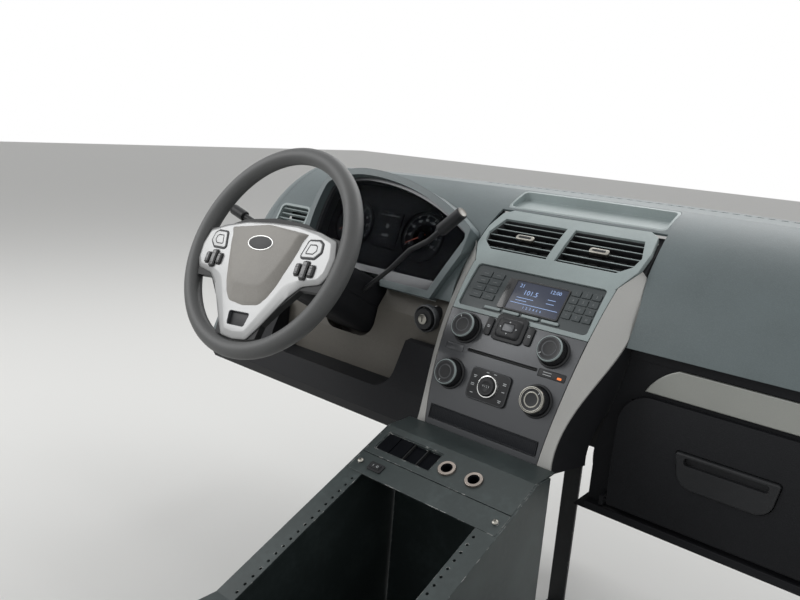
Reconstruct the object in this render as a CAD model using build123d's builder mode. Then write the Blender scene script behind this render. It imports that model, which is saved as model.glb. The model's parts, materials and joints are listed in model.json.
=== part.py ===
from build123d import *
import math
import os

# Cockpit of a patrol car: dashboard on its cross-car beam, steering column and wheel,
# centre stack, glovebox and the equipment console between the seats.
# +X is towards the right-hand door, +Y towards the nose, +Z up, in millimetres.
# The origin is the middle of the four bolts that hold the beam to the body.

# Clearances
seat = 0.4                  # between a piece and what it sits on or in
reveal = 1.0                # visible line between two panels
clear = 6.0                 # between pieces that move and pieces that do not

# Cross-car beam
bolt_span_x = 1360
bolt_span_z = 70
bolt_hole_r = 5.5
flange_w = 56
flange_h = 116
flange_t = 6
beam_y = -66
beam_r = 28
beam_wall = 3
brace_x = 62
brace_w = 30
brace_t = 5
brace_knee_y = -122
brace_knee_z = -240
floor_z = -520
foot_l = 60
foot_hole_r = 4.5
bracket_w = 34
bracket_t = 5

# Dash pad
pad_half = 700
bracket_in = 110
bracket_x = (bracket_in - pad_half, -185, 230, pad_half - bracket_in)
cap_l = 38
cap_scale = 0.9
cap_mid_scale = 0.98
cap_reach = 130
wall = 4
glass_y = 156
glass_z = 182
crest_y = -30
crest_z = 189
mid_y = -142
mid_z = 121
lip_y = -215.8
lip_z = -2
glass_bow = 58
end_drop = 9
end_pull = 14

# Defroster grille in the pad, near the windscreen
grille_half = 330
grille_y = 104
grille_d = 24
grille_slots = 34
grille_slot_w = 12
grille_slot_d = 15

# Centre stack: its face is an arc about a line along X
stack_r = 478
stack_cy = 136
stack_cz = -261
stack_t = 4
bottom_deg = 9.9
mat_low_deg = 11.9
mat_high_deg = 14.5
surround_low_deg = 33.9
radio_low_deg = 34.8
radio_high_deg = 44.6
radio_half = 117
radio_r = 7
vent_low_deg = 48.6
vent_high_deg = 57.6
vent_mid_deg = 53
top_deg = 60.8
# angle, half width inside the trims, half width outside them, drop of the outer edge
stack_table = (
    (bottom_deg - 0.3, 104.0, 125.0, 6.0),
    (18.4, 112.0, 128.0, 11.0),
    (26.6, 119.0, 144.0, 25.0),
    (37.7, 126.0, 162.0, 38.0),
    (45.4, 130.0, 161.0, 23.0),
    (50.0, 152.0, 156.0, 11.0),
)
bezel_table = ((55.0, 151.0, 154.0, 10.0), (top_deg, 148.0, 151.0, 10.0))
trim_t = 3.5
frame_wall = 3

vent_outline = ((8, 48.6), (8, 57.6), (127, 57.6), (139, 53.0), (134, 50.6), (114, 48.6))
slat_count = 5
slat_t = 1.8
slat_d = 12
vane_count = 5
vane_x0 = 22
vane_pitch = 22
duct_d = 34
duct_wall = 2
tab_x = 68
tab_w = 34
tab_h = 11

radio_sink = 3
panel_sink = 5
screen_x = 14
screen_deg = 39.5
screen_w = 94
screen_h = 54
key_out = 1.4
softkey_x = (-58, -18, 14, 51)

knob_x = 79
knob_high_deg = 30.4
knob_low_deg = 21.2
knob_r = 21
collar_r = 25.5
knob_out = 19
nav_x = -5
nav_deg = 32.3
nav_w = 56
nav_h = 44
dial_x = -5
dial_deg = 20.9
dial_w = 72
dial_h = 50
dial_r = 17
slot_deg = 26.5
slot_half = 64
slot_h = 5
slot_sink = 3
lamp_x = 89
lamp_w = 46
lamp_h = 12
mat_half = 99

# Tray on top of the pad, ahead of the stack
tray_half = 146
tray_y0 = -91.5
tray_y1 = -34
tray_front_z = 156
tray_back_z = 172

# Steering column and wheel
wheel_x = -377
wheel_y = -442
wheel_z = 71
column_deg = 28
wheel_turn_deg = 5
rim_r = 174
rim_tube_r = 16
frame_t = 12
bezel_t = 5
switch_x = 114
switch_rows = ((4, 46, 34), (-30, 42, 16))
cover_out = 21
oval_half_w = 31
oval_half_h = 13
# right half of the spokes and of the cover, each from the top down
spoke_right = ((74, 50), (118, 34), (158, 26), (161, -30), (150, -62), (108, -62), (80, -92),
               (52, -128), (48, -150))
spoke_top = 56
spoke_hole_y = -126
spoke_hole_w = 40
spoke_hole_h = 22
cover_right = ((72, 42), (86, 20), (70, -28), (40, -92))
cover_top = 48
cover_low = -98
cover_r = 9
boss_back = -44
shroud_near = -52
shroud_far = -262
collar_far = -300
collar_lap = 60
shroud_w0 = 96
shroud_w1 = 114
shroud_h0 = 90
shroud_h1 = 100
shroud_wall = 3
shroud_r = 26
jacket_r = 24
shaft_r = 9
shaft_far = -470
bearing_l = 16
tilt_at = -330
tilt_pin_r = 6
tilt_swing_deg = 2.5
cheek_gap = 6
cheek_t = 4
# points along each lever, its bends' radii, its radius and its knob's length and radius
shift_path = ((-329, -262, -11.4), (-262, -262, 44), (-218, -268, 84), (-178, -269, 107),
              (-150, -270, 131))
shift_bends = (24, 20, 12)
shift_r = 4.3
shift_knob = (54, 10.5)
turn_path = ((-413, -325.5, 43.4), (-476, -345, 72), (-560, -352, 100))
turn_bends = (30,)
turn_r = 6
turn_knob = (34, 10)
tilt_path = ((-421, -291.6, -11), (-452, -312, -28), (-474, -352, -34))
tilt_bends = (8,)
tilt_r = 4

# Gauges under their hood
gauge_x = -377
gauge_y = -181
gauge_z = 130
gauge_lean_deg = 20
hood_left_u = -160
hood_left_v = 46
hood_side_u = -176
hood_side_v = -40
hood_low_left_u = -162
hood_low_right_u = 178
hood_low_v = -140
hood_tip_u = 234
hood_tip_v = -13
hood_bulge_u = 209
hood_bulge_v = -66
hood_top_u = -50
hood_top_v = 75
hood_corner_r = 34
hood_tip_r = 28
hood_wall = 13
hood_ledge = 2
hood_depth = 106
hood_back_scale = 0.94
lens_low_v = -107
lens_at = 26
lens_t = 2
cluster_at = 46
cluster_t = 14
cluster_box_w = 236
cluster_box_h = 92
cluster_box_d = 30
dial_ring_r = 50
dial_ring_x = 88
dial_ring_v = -28

# Driver's panels
panel_top_y = -200
driver_end_x = 108
panel_low_z = -200
knee_top_z = -74
knee_low_z = -222
# (y, z) down the face of the driver's panel, and round the knee panel's skin from its top
panel_face = ((panel_top_y, lip_z - 0.6), (-230, -40), (-246, -100), (-256, panel_low_z))
knee_skin = ((-247, knee_top_z), (-262, knee_top_z - 2), (-300, -150), (-318, -198), (-306, -220),
             (-257, knee_low_z), (-257, -200.6), (-246.6, -100))
knee_hollow = ((-230, knee_top_z - wall), (-259, knee_top_z - wall - 2), (-296, -151),
               (-313.6, -197.6), (-303.4, -216), (-230, knee_low_z + wall))
knee_cut_half = 160
knee_cut_low_z = -158
knee_cut_r = 34
lock_x = -190
lock_y = -252
lock_z = -33
lock_r = 20
lock_len = 34

# Outer vents
side_vent_x = pad_half - 72
side_vent_z = 74
side_vent_w = 92
side_vent_h = 66
side_vent_tilt_deg = 29

# Passenger's side
band_y = -196
strip_y = -199
strip_top_z = -21
strip_low_z = -64
strip_x0 = 193
strip_lead = 46
strip_x1 = pad_half - 10
strip_t = 5
glove_x0 = 162
glove_corner_r = 46
glove_x1 = 588
glove_top_z = -71
glove_hinge_y = -200
glove_hinge_z = -252
glove_thick = 12
glove_belly = 5
glove_gap = 6
glove_pin_r = 3.5
bin_wall = 3
bin_inset = 12
bin_depth = 140
lower_z = -276
latch_x = 328
latch_z = -158
latch_half = 73
latch_low_half = 64
latch_half_h = 27
latch_r = 26
latch_sink = 5
latch_out = 4

# Console between the seats
console_half = 138
console_front_z = -172.4
fold_y = -384
fold_z = -175
slope_deg = 24.8
slope_len = 360
level_len = 300
sheet_t = 2.5
rail_inner = 104
bay_at = 103
strip_at = 64
rail_pitch = 14.3
rail_hole_r = 2.2
rail_hole_in = 7
rail_end = 14
cheek_ahead = 34
bulkhead_ahead = 24
bulkhead_foot = 112
rear_ledge = 80
console_foot_w = 32
console_foot_in = 20
console_foot_pitch = 150
socket_r = 10.6
socket_x = (6, 54)
socket_at = 35
switch_at_x = -92
blank_pitch = 26
blank_x0 = -124
blank_x1 = -16
blank_at0 = 12
blank_at1 = 52

# Heater unit behind the stack, as one plain block
heater_half = 140
heater_y1 = 128
heater_z0 = -232
heater_z1 = 88


def arc_point(deg, lift=0.0):
    """Point (y, z) of the stack's arc at an angle above the horizon, lifted off its face."""
    a = math.radians(deg)
    r = stack_r + lift
    return (stack_cy - r * math.cos(a), stack_cz + r * math.sin(a))


def stack_plane(x, deg, lift=0.0):
    """Tangent plane on the stack's face: z away from the face, x to the right."""
    a = math.radians(deg)
    y, z = arc_point(deg, lift)
    return Plane(origin=(x, y, z), x_dir=(1, 0, 0), z_dir=(0, -math.cos(a), math.sin(a)))


def radial_plane(deg):
    """Plane through the arc's centre line: x to the right, y outward from that line."""
    a = math.radians(deg)
    return Plane(origin=(0, stack_cy, stack_cz), x_dir=(1, 0, 0), z_dir=(0, -math.sin(a), -math.cos(a)))


def column_plane(w, turn=0.0):
    """Plane square to the column, w towards the driver from the wheel's centre."""
    a = math.radians(column_deg)
    t = math.radians(turn)
    n = Vector(0, -math.cos(a), math.sin(a))
    up = Vector(0, math.sin(a), math.cos(a))
    right = Vector(1, 0, 0) * math.cos(t) + up * math.sin(t)
    return Plane(origin=Vector(wheel_x, wheel_y, wheel_z) + n * w, x_dir=right, z_dir=n)


def gauge_plane(depth=0.0):
    """Plane of the hood's opening, moved into the dash by a depth."""
    a = math.radians(gauge_lean_deg)
    n = Vector(0, -math.cos(a), math.sin(a))
    return Plane(origin=Vector(gauge_x, gauge_y, gauge_z) - n * depth, x_dir=(1, 0, 0), z_dir=n)


def console_plane(x=0.0, down=0.0, lift=0.0):
    """Plane of the console's sloping top, its y up the slope, at a way down from the fold."""
    a = math.radians(slope_deg)
    n = Vector(0, -math.sin(a), math.cos(a))
    p = Vector(x, fold_y - down * math.cos(a), fold_z - down * math.sin(a))
    return Plane(origin=p + n * lift, x_dir=(1, 0, 0), z_dir=n)


def pull(x):
    """How far the dash falls back towards the nose at x."""
    return end_pull * (x / pad_half) ** 2


def write(part, label):
    part.label = label
    export_step(part, f"parts/{label}.step")


def slab(deg0, deg1, half, inner, outer):
    """Stretch of the stack's arc, from inner to outer lift."""
    mid = (deg0 + deg1) / 2
    with BuildPart(mode=Mode.PRIVATE) as piece:
        with BuildSketch(Plane.YZ.offset(-half)):
            with BuildLine():
                ThreePointArc(arc_point(deg0, outer), arc_point(mid, outer), arc_point(deg1, outer))
                Line(arc_point(deg1, outer), arc_point(deg1, inner))
                ThreePointArc(arc_point(deg1, inner), arc_point(mid, inner), arc_point(deg0, inner))
                Line(arc_point(deg0, inner), arc_point(deg0, outer))
            make_face()
        extrude(amount=2 * half)
    return piece.part


def stack_prism(table, mid, grow=0.0, deep=60.0):
    """Prism through the stack from an outline of (x, angle), seen square to the angle mid."""
    with BuildPart(mode=Mode.PRIVATE) as piece:
        with BuildSketch(stack_plane(0, mid, -deep)):
            with BuildLine():
                points = [(x, stack_r * math.sin(math.radians(deg - mid))) for x, deg in table]
                Polyline(*points, close=True)
            make_face()
            if grow:
                offset(amount=grow, kind=Kind.INTERSECTION)
        extrude(amount=deep + 40)
    return piece.part


def mirrored(table):
    """Closed outline from its right half, listed from the bottom to the top."""
    return list(table) + [(-x, deg) for x, deg in reversed(table)]


def inner_outline(grow=0.0):
    """Outline of the panels between the trims."""
    return mirrored([(row[1] + grow, row[0]) for row in stack_table[:5]])


def stack_rows():
    """Rows of the stack in two runs: a smooth one up to the radio, a straight one past it."""
    return stack_table[:5], (stack_table[4:] + bezel_table)


def stack_envelope(margin):
    """Space that the stack takes out of the dash, with a margin at its sides."""
    curved, straight = stack_rows()
    first = stack_table[0]
    foot = (first[0] - 12, first[1], first[2], first[3])
    with BuildPart(mode=Mode.PRIVATE) as piece:
        for rows, ruled in ((curved, False), (straight, True), ((foot, first), True)):
            loft([envelope_section(row, margin) for row in rows], ruled=ruled)
    return piece.part


def envelope_section(row, margin):
    """Section of the stack's envelope on a radial plane."""
    deg, _, outer, _ = row
    with BuildSketch(radial_plane(deg), mode=Mode.PRIVATE) as section:
        with Locations((0, stack_r - 100)):
            Rectangle(2 * (outer + margin), 260)
    return section.sketch


def dash_section(x, inset, open_front):
    """Closed section of the pad's outside, or of its inside when inset by the wall."""
    share = x / pad_half
    back = glass_bow * share ** 2
    drop = end_drop * share ** 2
    shift = pull(x)
    front = glass_y - back + (20 if open_front else 0)
    top = glass_z - drop - inset
    with BuildSketch(Plane.YZ.offset(x), mode=Mode.PRIVATE) as section:
        with BuildLine():
            crest = (crest_y + shift + inset * 0.3, crest_z - drop - inset)
            middle = (mid_y + shift + inset * 0.8, mid_z - drop - inset * 0.6)
            lip = (lip_y + shift + inset, lip_z)
            Line((front, top), crest)
            ThreePointArc(crest, middle, lip)
            if open_front:
                Polyline(lip, (lip[0], lip_z - 20), (front, lip_z - 20), (front, top))
            else:
                Polyline(lip, (front, lip_z), (front, top))
        make_face()
    return section.sketch


def dash_body(inset=0.0, open_front=False, half=pad_half):
    """Solid inside the pad's skin."""
    sections = [dash_section(share * half, inset, open_front) for share in (-1, -0.6, 0, 0.6, 1)]
    with BuildPart(mode=Mode.PRIVATE) as piece:
        loft(sections)
    return piece.part


def hood_outline(grow=0.0, share=1.0):
    """Face of the gauge hood's arch, its width scaled by a share."""
    left = (hood_left_u * share, hood_left_v)
    tip = (hood_tip_u * share, hood_tip_v)
    low_left = (hood_low_left_u * share, hood_low_v)
    low_right = (hood_low_right_u * share, hood_low_v)
    top = (hood_top_u * share, hood_top_v)
    with BuildSketch(mode=Mode.PRIVATE) as face:
        with BuildLine():
            ThreePointArc(low_right, (hood_bulge_u * share, hood_bulge_v), tip)
            ThreePointArc(tip, brow_point(tip, top), top)
            ThreePointArc(top, brow_point(left, top), left)
            ThreePointArc(left, (hood_side_u * share, hood_side_v), low_left)
            Line(low_left, low_right)
        make_face()
        if grow:
            offset(amount=grow, kind=Kind.INTERSECTION)
        shoulder = face.vertices().filter_by(lambda v: v.Y > hood_left_v / 2).sort_by(Axis.X)[0]
        fillet(shoulder, hood_corner_r + grow)
        fillet(face.vertices().sort_by(Axis.X)[-1], hood_tip_r + grow)
    return face.sketch


def brow_point(end, top):
    """Middle point of the arc that leaves the hood's top level and runs to an end."""
    du = end[0] - top[0]
    dv = top[1] - end[1]
    r = (du ** 2 + dv ** 2) / (2 * dv)
    return (top[0] + du / 2, top[1] - r + math.sqrt(r ** 2 - (du / 2) ** 2))


def hood_body(grow=0.0):
    """Outside of the hood, from its opening to where it ends inside the dash."""
    with BuildPart(mode=Mode.PRIVATE) as piece:
        with BuildSketch(gauge_plane(-grow)):
            add(hood_outline(grow))
        with BuildSketch(gauge_plane(hood_depth)):
            add(hood_outline(grow, hood_back_scale))
        loft()
    return piece.part


def column_room(past=12):
    """Space that the shroud needs in the dash over its swing, to a way past its end."""
    swing = (shroud_far - tilt_at) * math.sin(math.radians(tilt_swing_deg)) + clear
    with BuildPart(mode=Mode.PRIVATE) as piece:
        with BuildSketch(column_plane(shroud_far - past)):
            RectangleRounded(shroud_w1 + 2 * clear, shroud_h1 + 2 * swing, shroud_r + clear)
        extrude(amount=90 + past)
    return piece.part


def beam():
    end = bolt_span_x / 2 + flange_w / 2
    web_l = -beam_y - beam_r + 6
    with BuildPart() as cross_beam:
        for x in bracket_x:
            with BuildSketch(Plane.YZ.offset(x - bracket_w / 2)):
                with Locations((beam_y, crest_z / 2)):
                    Rectangle(bracket_t, crest_z)
            extrude(amount=bracket_w)
        add(dash_body(wall + seat, True), mode=Mode.INTERSECT)
        with BuildSketch(Plane.YZ.offset(-end)):
            with Locations((beam_y, 0)):
                Circle(beam_r)
        extrude(amount=2 * end)
        for side in (-1, 1):
            x = side * bolt_span_x / 2
            with BuildSketch(Plane.XZ):
                with Locations((x, 0)):
                    RectangleRounded(flange_w, flange_h, 10)
            extrude(amount=flange_t)
            for edge in (-1, 1):
                with BuildSketch(Plane.YZ.offset(x + edge * (flange_w - flange_t) / 2 - flange_t / 2)):
                    with BuildLine():
                        Polyline((-1, 30), (-1, -30), (-web_l, -16), (-web_l, 16), close=True)
                    make_face()
                extrude(amount=flange_t)
        for side in (-1, 1):
            cheek_x = wheel_x + side * (jacket_r + cheek_gap + cheek_t / 2)
            with BuildSketch(Plane.YZ.offset(cheek_x - cheek_t / 2)):
                py, pz = pivot_point()
                with BuildLine():
                    Polyline((beam_y + 20, 0), (beam_y - 20, 0), (py - 14, pz + 6), (py - 10, pz - 14),
                             (py + 14, pz - 14), (beam_y + 24, -20), close=True)
                make_face()
                with Locations((py, pz)):
                    Circle(tilt_pin_r + seat / 2, mode=Mode.SUBTRACT)
            extrude(amount=cheek_t)
        with BuildSketch(Plane.YZ.offset(-end)):
            with Locations((beam_y, 0)):
                Circle(beam_r - beam_wall)
        extrude(amount=2 * end, mode=Mode.SUBTRACT)
        with BuildSketch(Plane.XZ.offset(-1)):
            with GridLocations(bolt_span_x, bolt_span_z, 2, 2):
                Circle(bolt_hole_r)
        extrude(amount=flange_t + 2, mode=Mode.SUBTRACT)
    write(cross_beam.part, "cross_beam")


def braces():
    y0 = beam_y - 10
    y1 = brace_knee_y
    t = brace_t
    with BuildPart() as legs:
        for side in (-1, 1):
            with BuildSketch(Plane.YZ.offset(side * brace_x - brace_w / 2)):
                with BuildLine():
                    Polyline((y0, 0), (y0 - t, 0), (y1 - t, brace_knee_z), (y1 - t, floor_z + t),
                             (y1 - foot_l, floor_z + t), (y1 - foot_l, floor_z), (y1, floor_z),
                             (y1, brace_knee_z), close=True)
                make_face()
                with Locations((beam_y, 0)):
                    Circle(beam_r + seat, mode=Mode.SUBTRACT)
            extrude(amount=brace_w)
        with BuildSketch(Plane.XY.offset(floor_z - 1)):
            with Locations((0, y1 - foot_l / 2 - t)):
                with GridLocations(2 * brace_x, 1, 2, 1):
                    Circle(foot_hole_r)
        extrude(amount=t + 2, mode=Mode.SUBTRACT)
    write(legs.part, "centre_braces")


def pivot_point():
    a = math.radians(column_deg)
    return (wheel_y - tilt_at * math.cos(a), wheel_z + tilt_at * math.sin(a))


def heater():
    with BuildPart() as block:
        with BuildSketch(Plane.YZ.offset(-heater_half)):
            with BuildLine():
                y0 = beam_y - 6
                Polyline((y0, heater_z0), (heater_y1, heater_z0), (heater_y1, heater_z1 - 40),
                         (heater_y1 - 50, heater_z1), (y0 + 24, heater_z1), (y0, heater_z1 - 30), close=True)
            make_face()
            with Locations((beam_y, 0)):
                Circle(beam_r + seat, mode=Mode.SUBTRACT)
            with Locations((y0 - 10, 0)):
                Rectangle(60, 2 * beam_r + 2 * seat, mode=Mode.SUBTRACT)
        extrude(amount=2 * heater_half)
    write(block.part, "heater_unit")


def pad():
    with BuildPart() as dash_pad:
        add(dash_body())
        add(dash_body(wall, True), mode=Mode.SUBTRACT)
        add(stack_envelope(reveal), mode=Mode.SUBTRACT)
        add(hood_body(seat), mode=Mode.SUBTRACT)
        with BuildSketch(Plane.XY.offset(lip_z - 5)):
            with Locations((gauge_x, lip_y)):
                Rectangle(2 * abs(hood_low_left_u) + 10, 60)
        extrude(amount=40, mode=Mode.SUBTRACT)
        add(tray_space(3 + seat, -seat), mode=Mode.SUBTRACT)
        with BuildSketch(Plane.XY.offset(crest_z - 40)):
            with Locations((0, grille_y)):
                RectangleRounded(2 * (grille_half + seat), grille_d + 2 * seat, 6)
        extrude(amount=60, mode=Mode.SUBTRACT)
        for side in (-1, 1):
            with BuildSketch(side_vent_plane(side, -50)):
                RectangleRounded(side_vent_w + 2 * seat, side_vent_h + 2 * seat, 14)
            extrude(amount=100, mode=Mode.SUBTRACT)
    write(dash_pad.part, "dash_pad")


def side_vent_plane(side, lift=0.0):
    a = math.radians(side_vent_tilt_deg)
    n = Vector(0, -math.cos(a), math.sin(a))
    y = lip_y + pull(side_vent_x) + 0.47 * (side_vent_z - lip_z)
    return Plane(origin=Vector(side * side_vent_x, y, side_vent_z) + n * lift, x_dir=(1, 0, 0), z_dir=n)


def tray_space(drop=0.0, inset=0.0):
    """Space above the tray's sloping floor, lowered by a drop and with its walls moved in."""
    y0 = tray_y0 + inset
    y1 = tray_y1 - inset
    with BuildPart(mode=Mode.PRIVATE) as piece:
        with BuildSketch(Plane.YZ.offset(inset - tray_half)):
            with BuildLine():
                Polyline((y0, tray_front_z - drop), (y1, tray_back_z - drop), (y1, crest_z + 20),
                         (y0, crest_z + 20), close=True)
            make_face()
        extrude(amount=2 * (tray_half - inset))
        fillet(piece.edges().filter_by(Axis.Z), 8)
    return piece.part


def tray():
    with BuildPart() as top_tray:
        add(tray_space(3))
        add(dash_body(), mode=Mode.INTERSECT)
        add(tray_space(0, wall), mode=Mode.SUBTRACT)
    write(top_tray.part, "top_tray")


def grille():
    z = (crest_z + glass_z) / 2 - 12
    with BuildPart() as defroster:
        with BuildSketch(Plane.XY.offset(z)):
            with Locations((0, grille_y)):
                RectangleRounded(2 * grille_half, grille_d, 6)
        extrude(amount=40)
        add(dash_body(), mode=Mode.INTERSECT)
        with BuildSketch(Plane.XY.offset(z)):
            with Locations((0, grille_y)):
                with GridLocations(2 * grille_half / grille_slots, 1, grille_slots, 1):
                    Rectangle(grille_slot_w, grille_slot_d)
        extrude(amount=40, mode=Mode.SUBTRACT)
    write(defroster.part, "defroster_grille")


def hood():
    with BuildPart() as gauge_hood:
        add(hood_body())
        with BuildSketch(gauge_plane(-10)):
            add(hood_outline(-hood_wall))
        extrude(amount=-(cluster_at + cluster_t + 10), mode=Mode.SUBTRACT)
        add(hood_back_space(), mode=Mode.SUBTRACT)
        add(column_room(), mode=Mode.SUBTRACT)
        add(stack_envelope(reveal), mode=Mode.SUBTRACT)
    write(gauge_hood.part, "gauge_hood")


def hood_back_space():
    """Space inside the hood behind the gauges, narrower towards its back."""
    near = cluster_at + cluster_t - 1
    near_share = 1 - (1 - hood_back_scale) * near / hood_depth
    with BuildPart(mode=Mode.PRIVATE) as piece:
        with BuildSketch(gauge_plane(near)):
            add(hood_outline(-hood_wall - hood_ledge, near_share))
        with BuildSketch(gauge_plane(hood_depth + 1)):
            add(hood_outline(-hood_wall - hood_ledge, hood_back_scale))
        loft()
    return piece.part


def hood_plate(near, thick, gap_in):
    """Plate inside the hood, from a depth to its thickness past it."""
    with BuildPart(mode=Mode.PRIVATE) as piece:
        with BuildSketch(gauge_plane(near)):
            add(hood_outline(-hood_wall - gap_in))
        extrude(amount=-thick)
        add(column_room(), mode=Mode.SUBTRACT)
        add(stack_envelope(reveal), mode=Mode.SUBTRACT)
    return piece.part


def lens_window(gap_in):
    """Space of the lens inside its bezel, above the bezel's lower bar."""
    with BuildPart(mode=Mode.PRIVATE) as piece:
        with BuildSketch(gauge_plane(lens_at - 20)):
            add(hood_outline(-hood_wall - 6 - gap_in))
            with Locations((0, lens_low_v + gap_in + 200)):
                Rectangle(600, 400, mode=Mode.INTERSECT)
        extrude(amount=-cluster_at)
    return piece.part


def gauges():
    with BuildPart() as bezel:
        add(hood_plate(lens_at - 8, cluster_at - lens_at + 8 - seat, seat))
        add(lens_window(0), mode=Mode.SUBTRACT)
    write(bezel.part, "gauge_bezel")
    with BuildPart() as lens:
        add(hood_plate(lens_at, lens_t, 6 + seat))
        add(lens_window(seat), mode=Mode.INTERSECT)
    write(lens.part, "gauge_lens")
    with BuildPart() as cluster:
        add(hood_plate(cluster_at, cluster_t, seat))
        for side in (-1, 1):
            with BuildSketch(gauge_plane(cluster_at)):
                with Locations((side * dial_ring_x, dial_ring_v)):
                    Circle(dial_ring_r)
                    Circle(dial_ring_r - 3, mode=Mode.SUBTRACT)
            extrude(amount=6)
            with BuildSketch(gauge_plane(cluster_at)):
                with Locations((side * dial_ring_x, dial_ring_v)):
                    Circle(6)
            extrude(amount=7)
        with BuildSketch(gauge_plane(cluster_at)):
            with Locations((0, dial_ring_v)):
                RectangleRounded(62, 72, 5)
        extrude(amount=3)
        with BuildSketch(gauge_plane(cluster_at + cluster_t - 1)):
            with Locations((0, dial_ring_v)):
                RectangleRounded(cluster_box_w, cluster_box_h, 8)
        extrude(amount=-cluster_box_d - 1)
        add(column_room(), mode=Mode.SUBTRACT)
    write(cluster.part, "instrument_cluster")


def side_vents():
    for side, name in ((-1, "left"), (1, "right")):
        with BuildPart() as vent:
            with BuildSketch(side_vent_plane(side, -26)):
                RectangleRounded(side_vent_w, side_vent_h, 14)
                RectangleRounded(side_vent_w - 10, side_vent_h - 10, 9, mode=Mode.SUBTRACT)
            extrude(amount=30)
            for k in range(-2, 3):
                with BuildSketch(side_vent_plane(side, -12)):
                    with Locations((0, k * 11)):
                        Rectangle(side_vent_w - 8, slat_t)
                extrude(amount=slat_d)
        write(vent.part, f"side_vent_{name}")


def frame_section(row):
    """U-shaped section of the stack's frame on a radial plane."""
    deg, x_in, x_out, drop = row
    face = stack_r - stack_t - panel_sink - seat
    side = stack_r - drop - trim_t - 2 * seat
    back = math.hypot(stack_cy - beam_y, stack_cz) + beam_r + 1
    t = frame_wall
    points = [(x_in, face), (x_out, min(side, face)), (x_out, back)]
    inner_points = [(x_out - t, back), (x_out - t, min(side, face) - t), (x_in - t, face - t)]
    half = points + inner_points
    outline = half + [(-x, y) for x, y in reversed(half)]
    with BuildSketch(radial_plane(deg), mode=Mode.PRIVATE) as section:
        with BuildLine():
            Polyline(*outline, close=True)
        make_face()
    return section.sketch


def stack_frame():
    curved, straight = stack_rows()
    with BuildPart() as frame:
        loft([frame_section(row) for row in curved])
        loft([frame_section(row) for row in straight], ruled=True)
        for deg0, deg1, half in ((36.2, 43.2, 100), (46.7, 59.5, 143), (16.5, 33, 96)):
            add(slab(deg0, deg1, half, -30, 0), mode=Mode.SUBTRACT)
    write(frame.part, "stack_frame")


def trim_section(row, side):
    """Section of a silver trim on a radial plane."""
    deg, x_in, x_out, drop = row
    with BuildSketch(radial_plane(deg), mode=Mode.PRIVATE) as section:
        with BuildLine():
            a = (side * x_in, stack_r)
            b = (side * x_out, stack_r - drop)
            Polyline(a, b, (b[0], b[1] - trim_t), (a[0], stack_r - stack_t - panel_sink), close=True)
        make_face()
    return section.sketch


def trims():
    for side, name in ((-1, "left"), (1, "right")):
        with BuildPart() as trim:
            loft([trim_section(row, side) for row in stack_table[:5]])
            loft([trim_section(row, side) for row in stack_table[4:]], ruled=True)
        write(trim.part, f"stack_trim_{name}")


def rim_panel(deg0, deg1, face, thick, outline, mid, inset=4.0):
    """Arc panel with a rim round its back, down to the frame."""
    back = -stack_t - panel_sink
    half = 170
    with BuildPart(mode=Mode.PRIVATE) as hollow:
        step = math.degrees(inset / stack_r)
        add(slab(deg0 + step, deg1 - step, half, back - 5, face - thick))
        add(stack_prism(outline, mid, -inset), mode=Mode.INTERSECT)
    with BuildPart(mode=Mode.PRIVATE) as piece:
        add(slab(deg0, deg1, half, back, face))
        add(stack_prism(outline, mid), mode=Mode.INTERSECT)
        add(hollow.part, mode=Mode.SUBTRACT)
    return piece.part


def control_panel():
    line = math.degrees(reveal / stack_r)
    with BuildPart() as panel:
        add(rim_panel(bottom_deg, surround_low_deg - line, 0, stack_t, inner_outline(-reveal), 28))
        with BuildSketch(stack_plane(0, slot_deg, -slot_sink)):
            RectangleRounded(2 * slot_half, slot_h, 2)
        extrude(amount=10, mode=Mode.SUBTRACT)
        add(slab(mat_low_deg - line, mat_high_deg + line, mat_half + 1, -2.4, 5), mode=Mode.SUBTRACT)
        for x, w in ((-lamp_x, 34), (lamp_x, lamp_w)):
            with BuildSketch(stack_plane(x, slot_deg - 0.2, -0.8)):
                RectangleRounded(w, lamp_h, 2)
            extrude(amount=8, mode=Mode.SUBTRACT)
    write(panel.part, "control_panel")


def mat():
    with BuildPart() as rubber_mat:
        add(slab(mat_low_deg, mat_high_deg, mat_half, -2, 0.4))
        for k in range(-15, 16):
            with BuildSketch(stack_plane(k * 6.2, (mat_low_deg + mat_high_deg) / 2, -0.8)):
                Rectangle(2.2, 19)
            extrude(amount=2.6)
    write(rubber_mat.part, "tray_mat")


def radio_window(grow=0.0):
    """Prism of the radio's opening in its surround."""
    height = stack_r * math.radians(radio_high_deg - radio_low_deg)
    with BuildPart(mode=Mode.PRIVATE) as piece:
        with BuildSketch(stack_plane(0, (radio_low_deg + radio_high_deg) / 2, -30)):
            RectangleRounded(2 * (radio_half + grow), height + 2 * grow, radio_r + grow)
        extrude(amount=60)
    return piece.part


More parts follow.
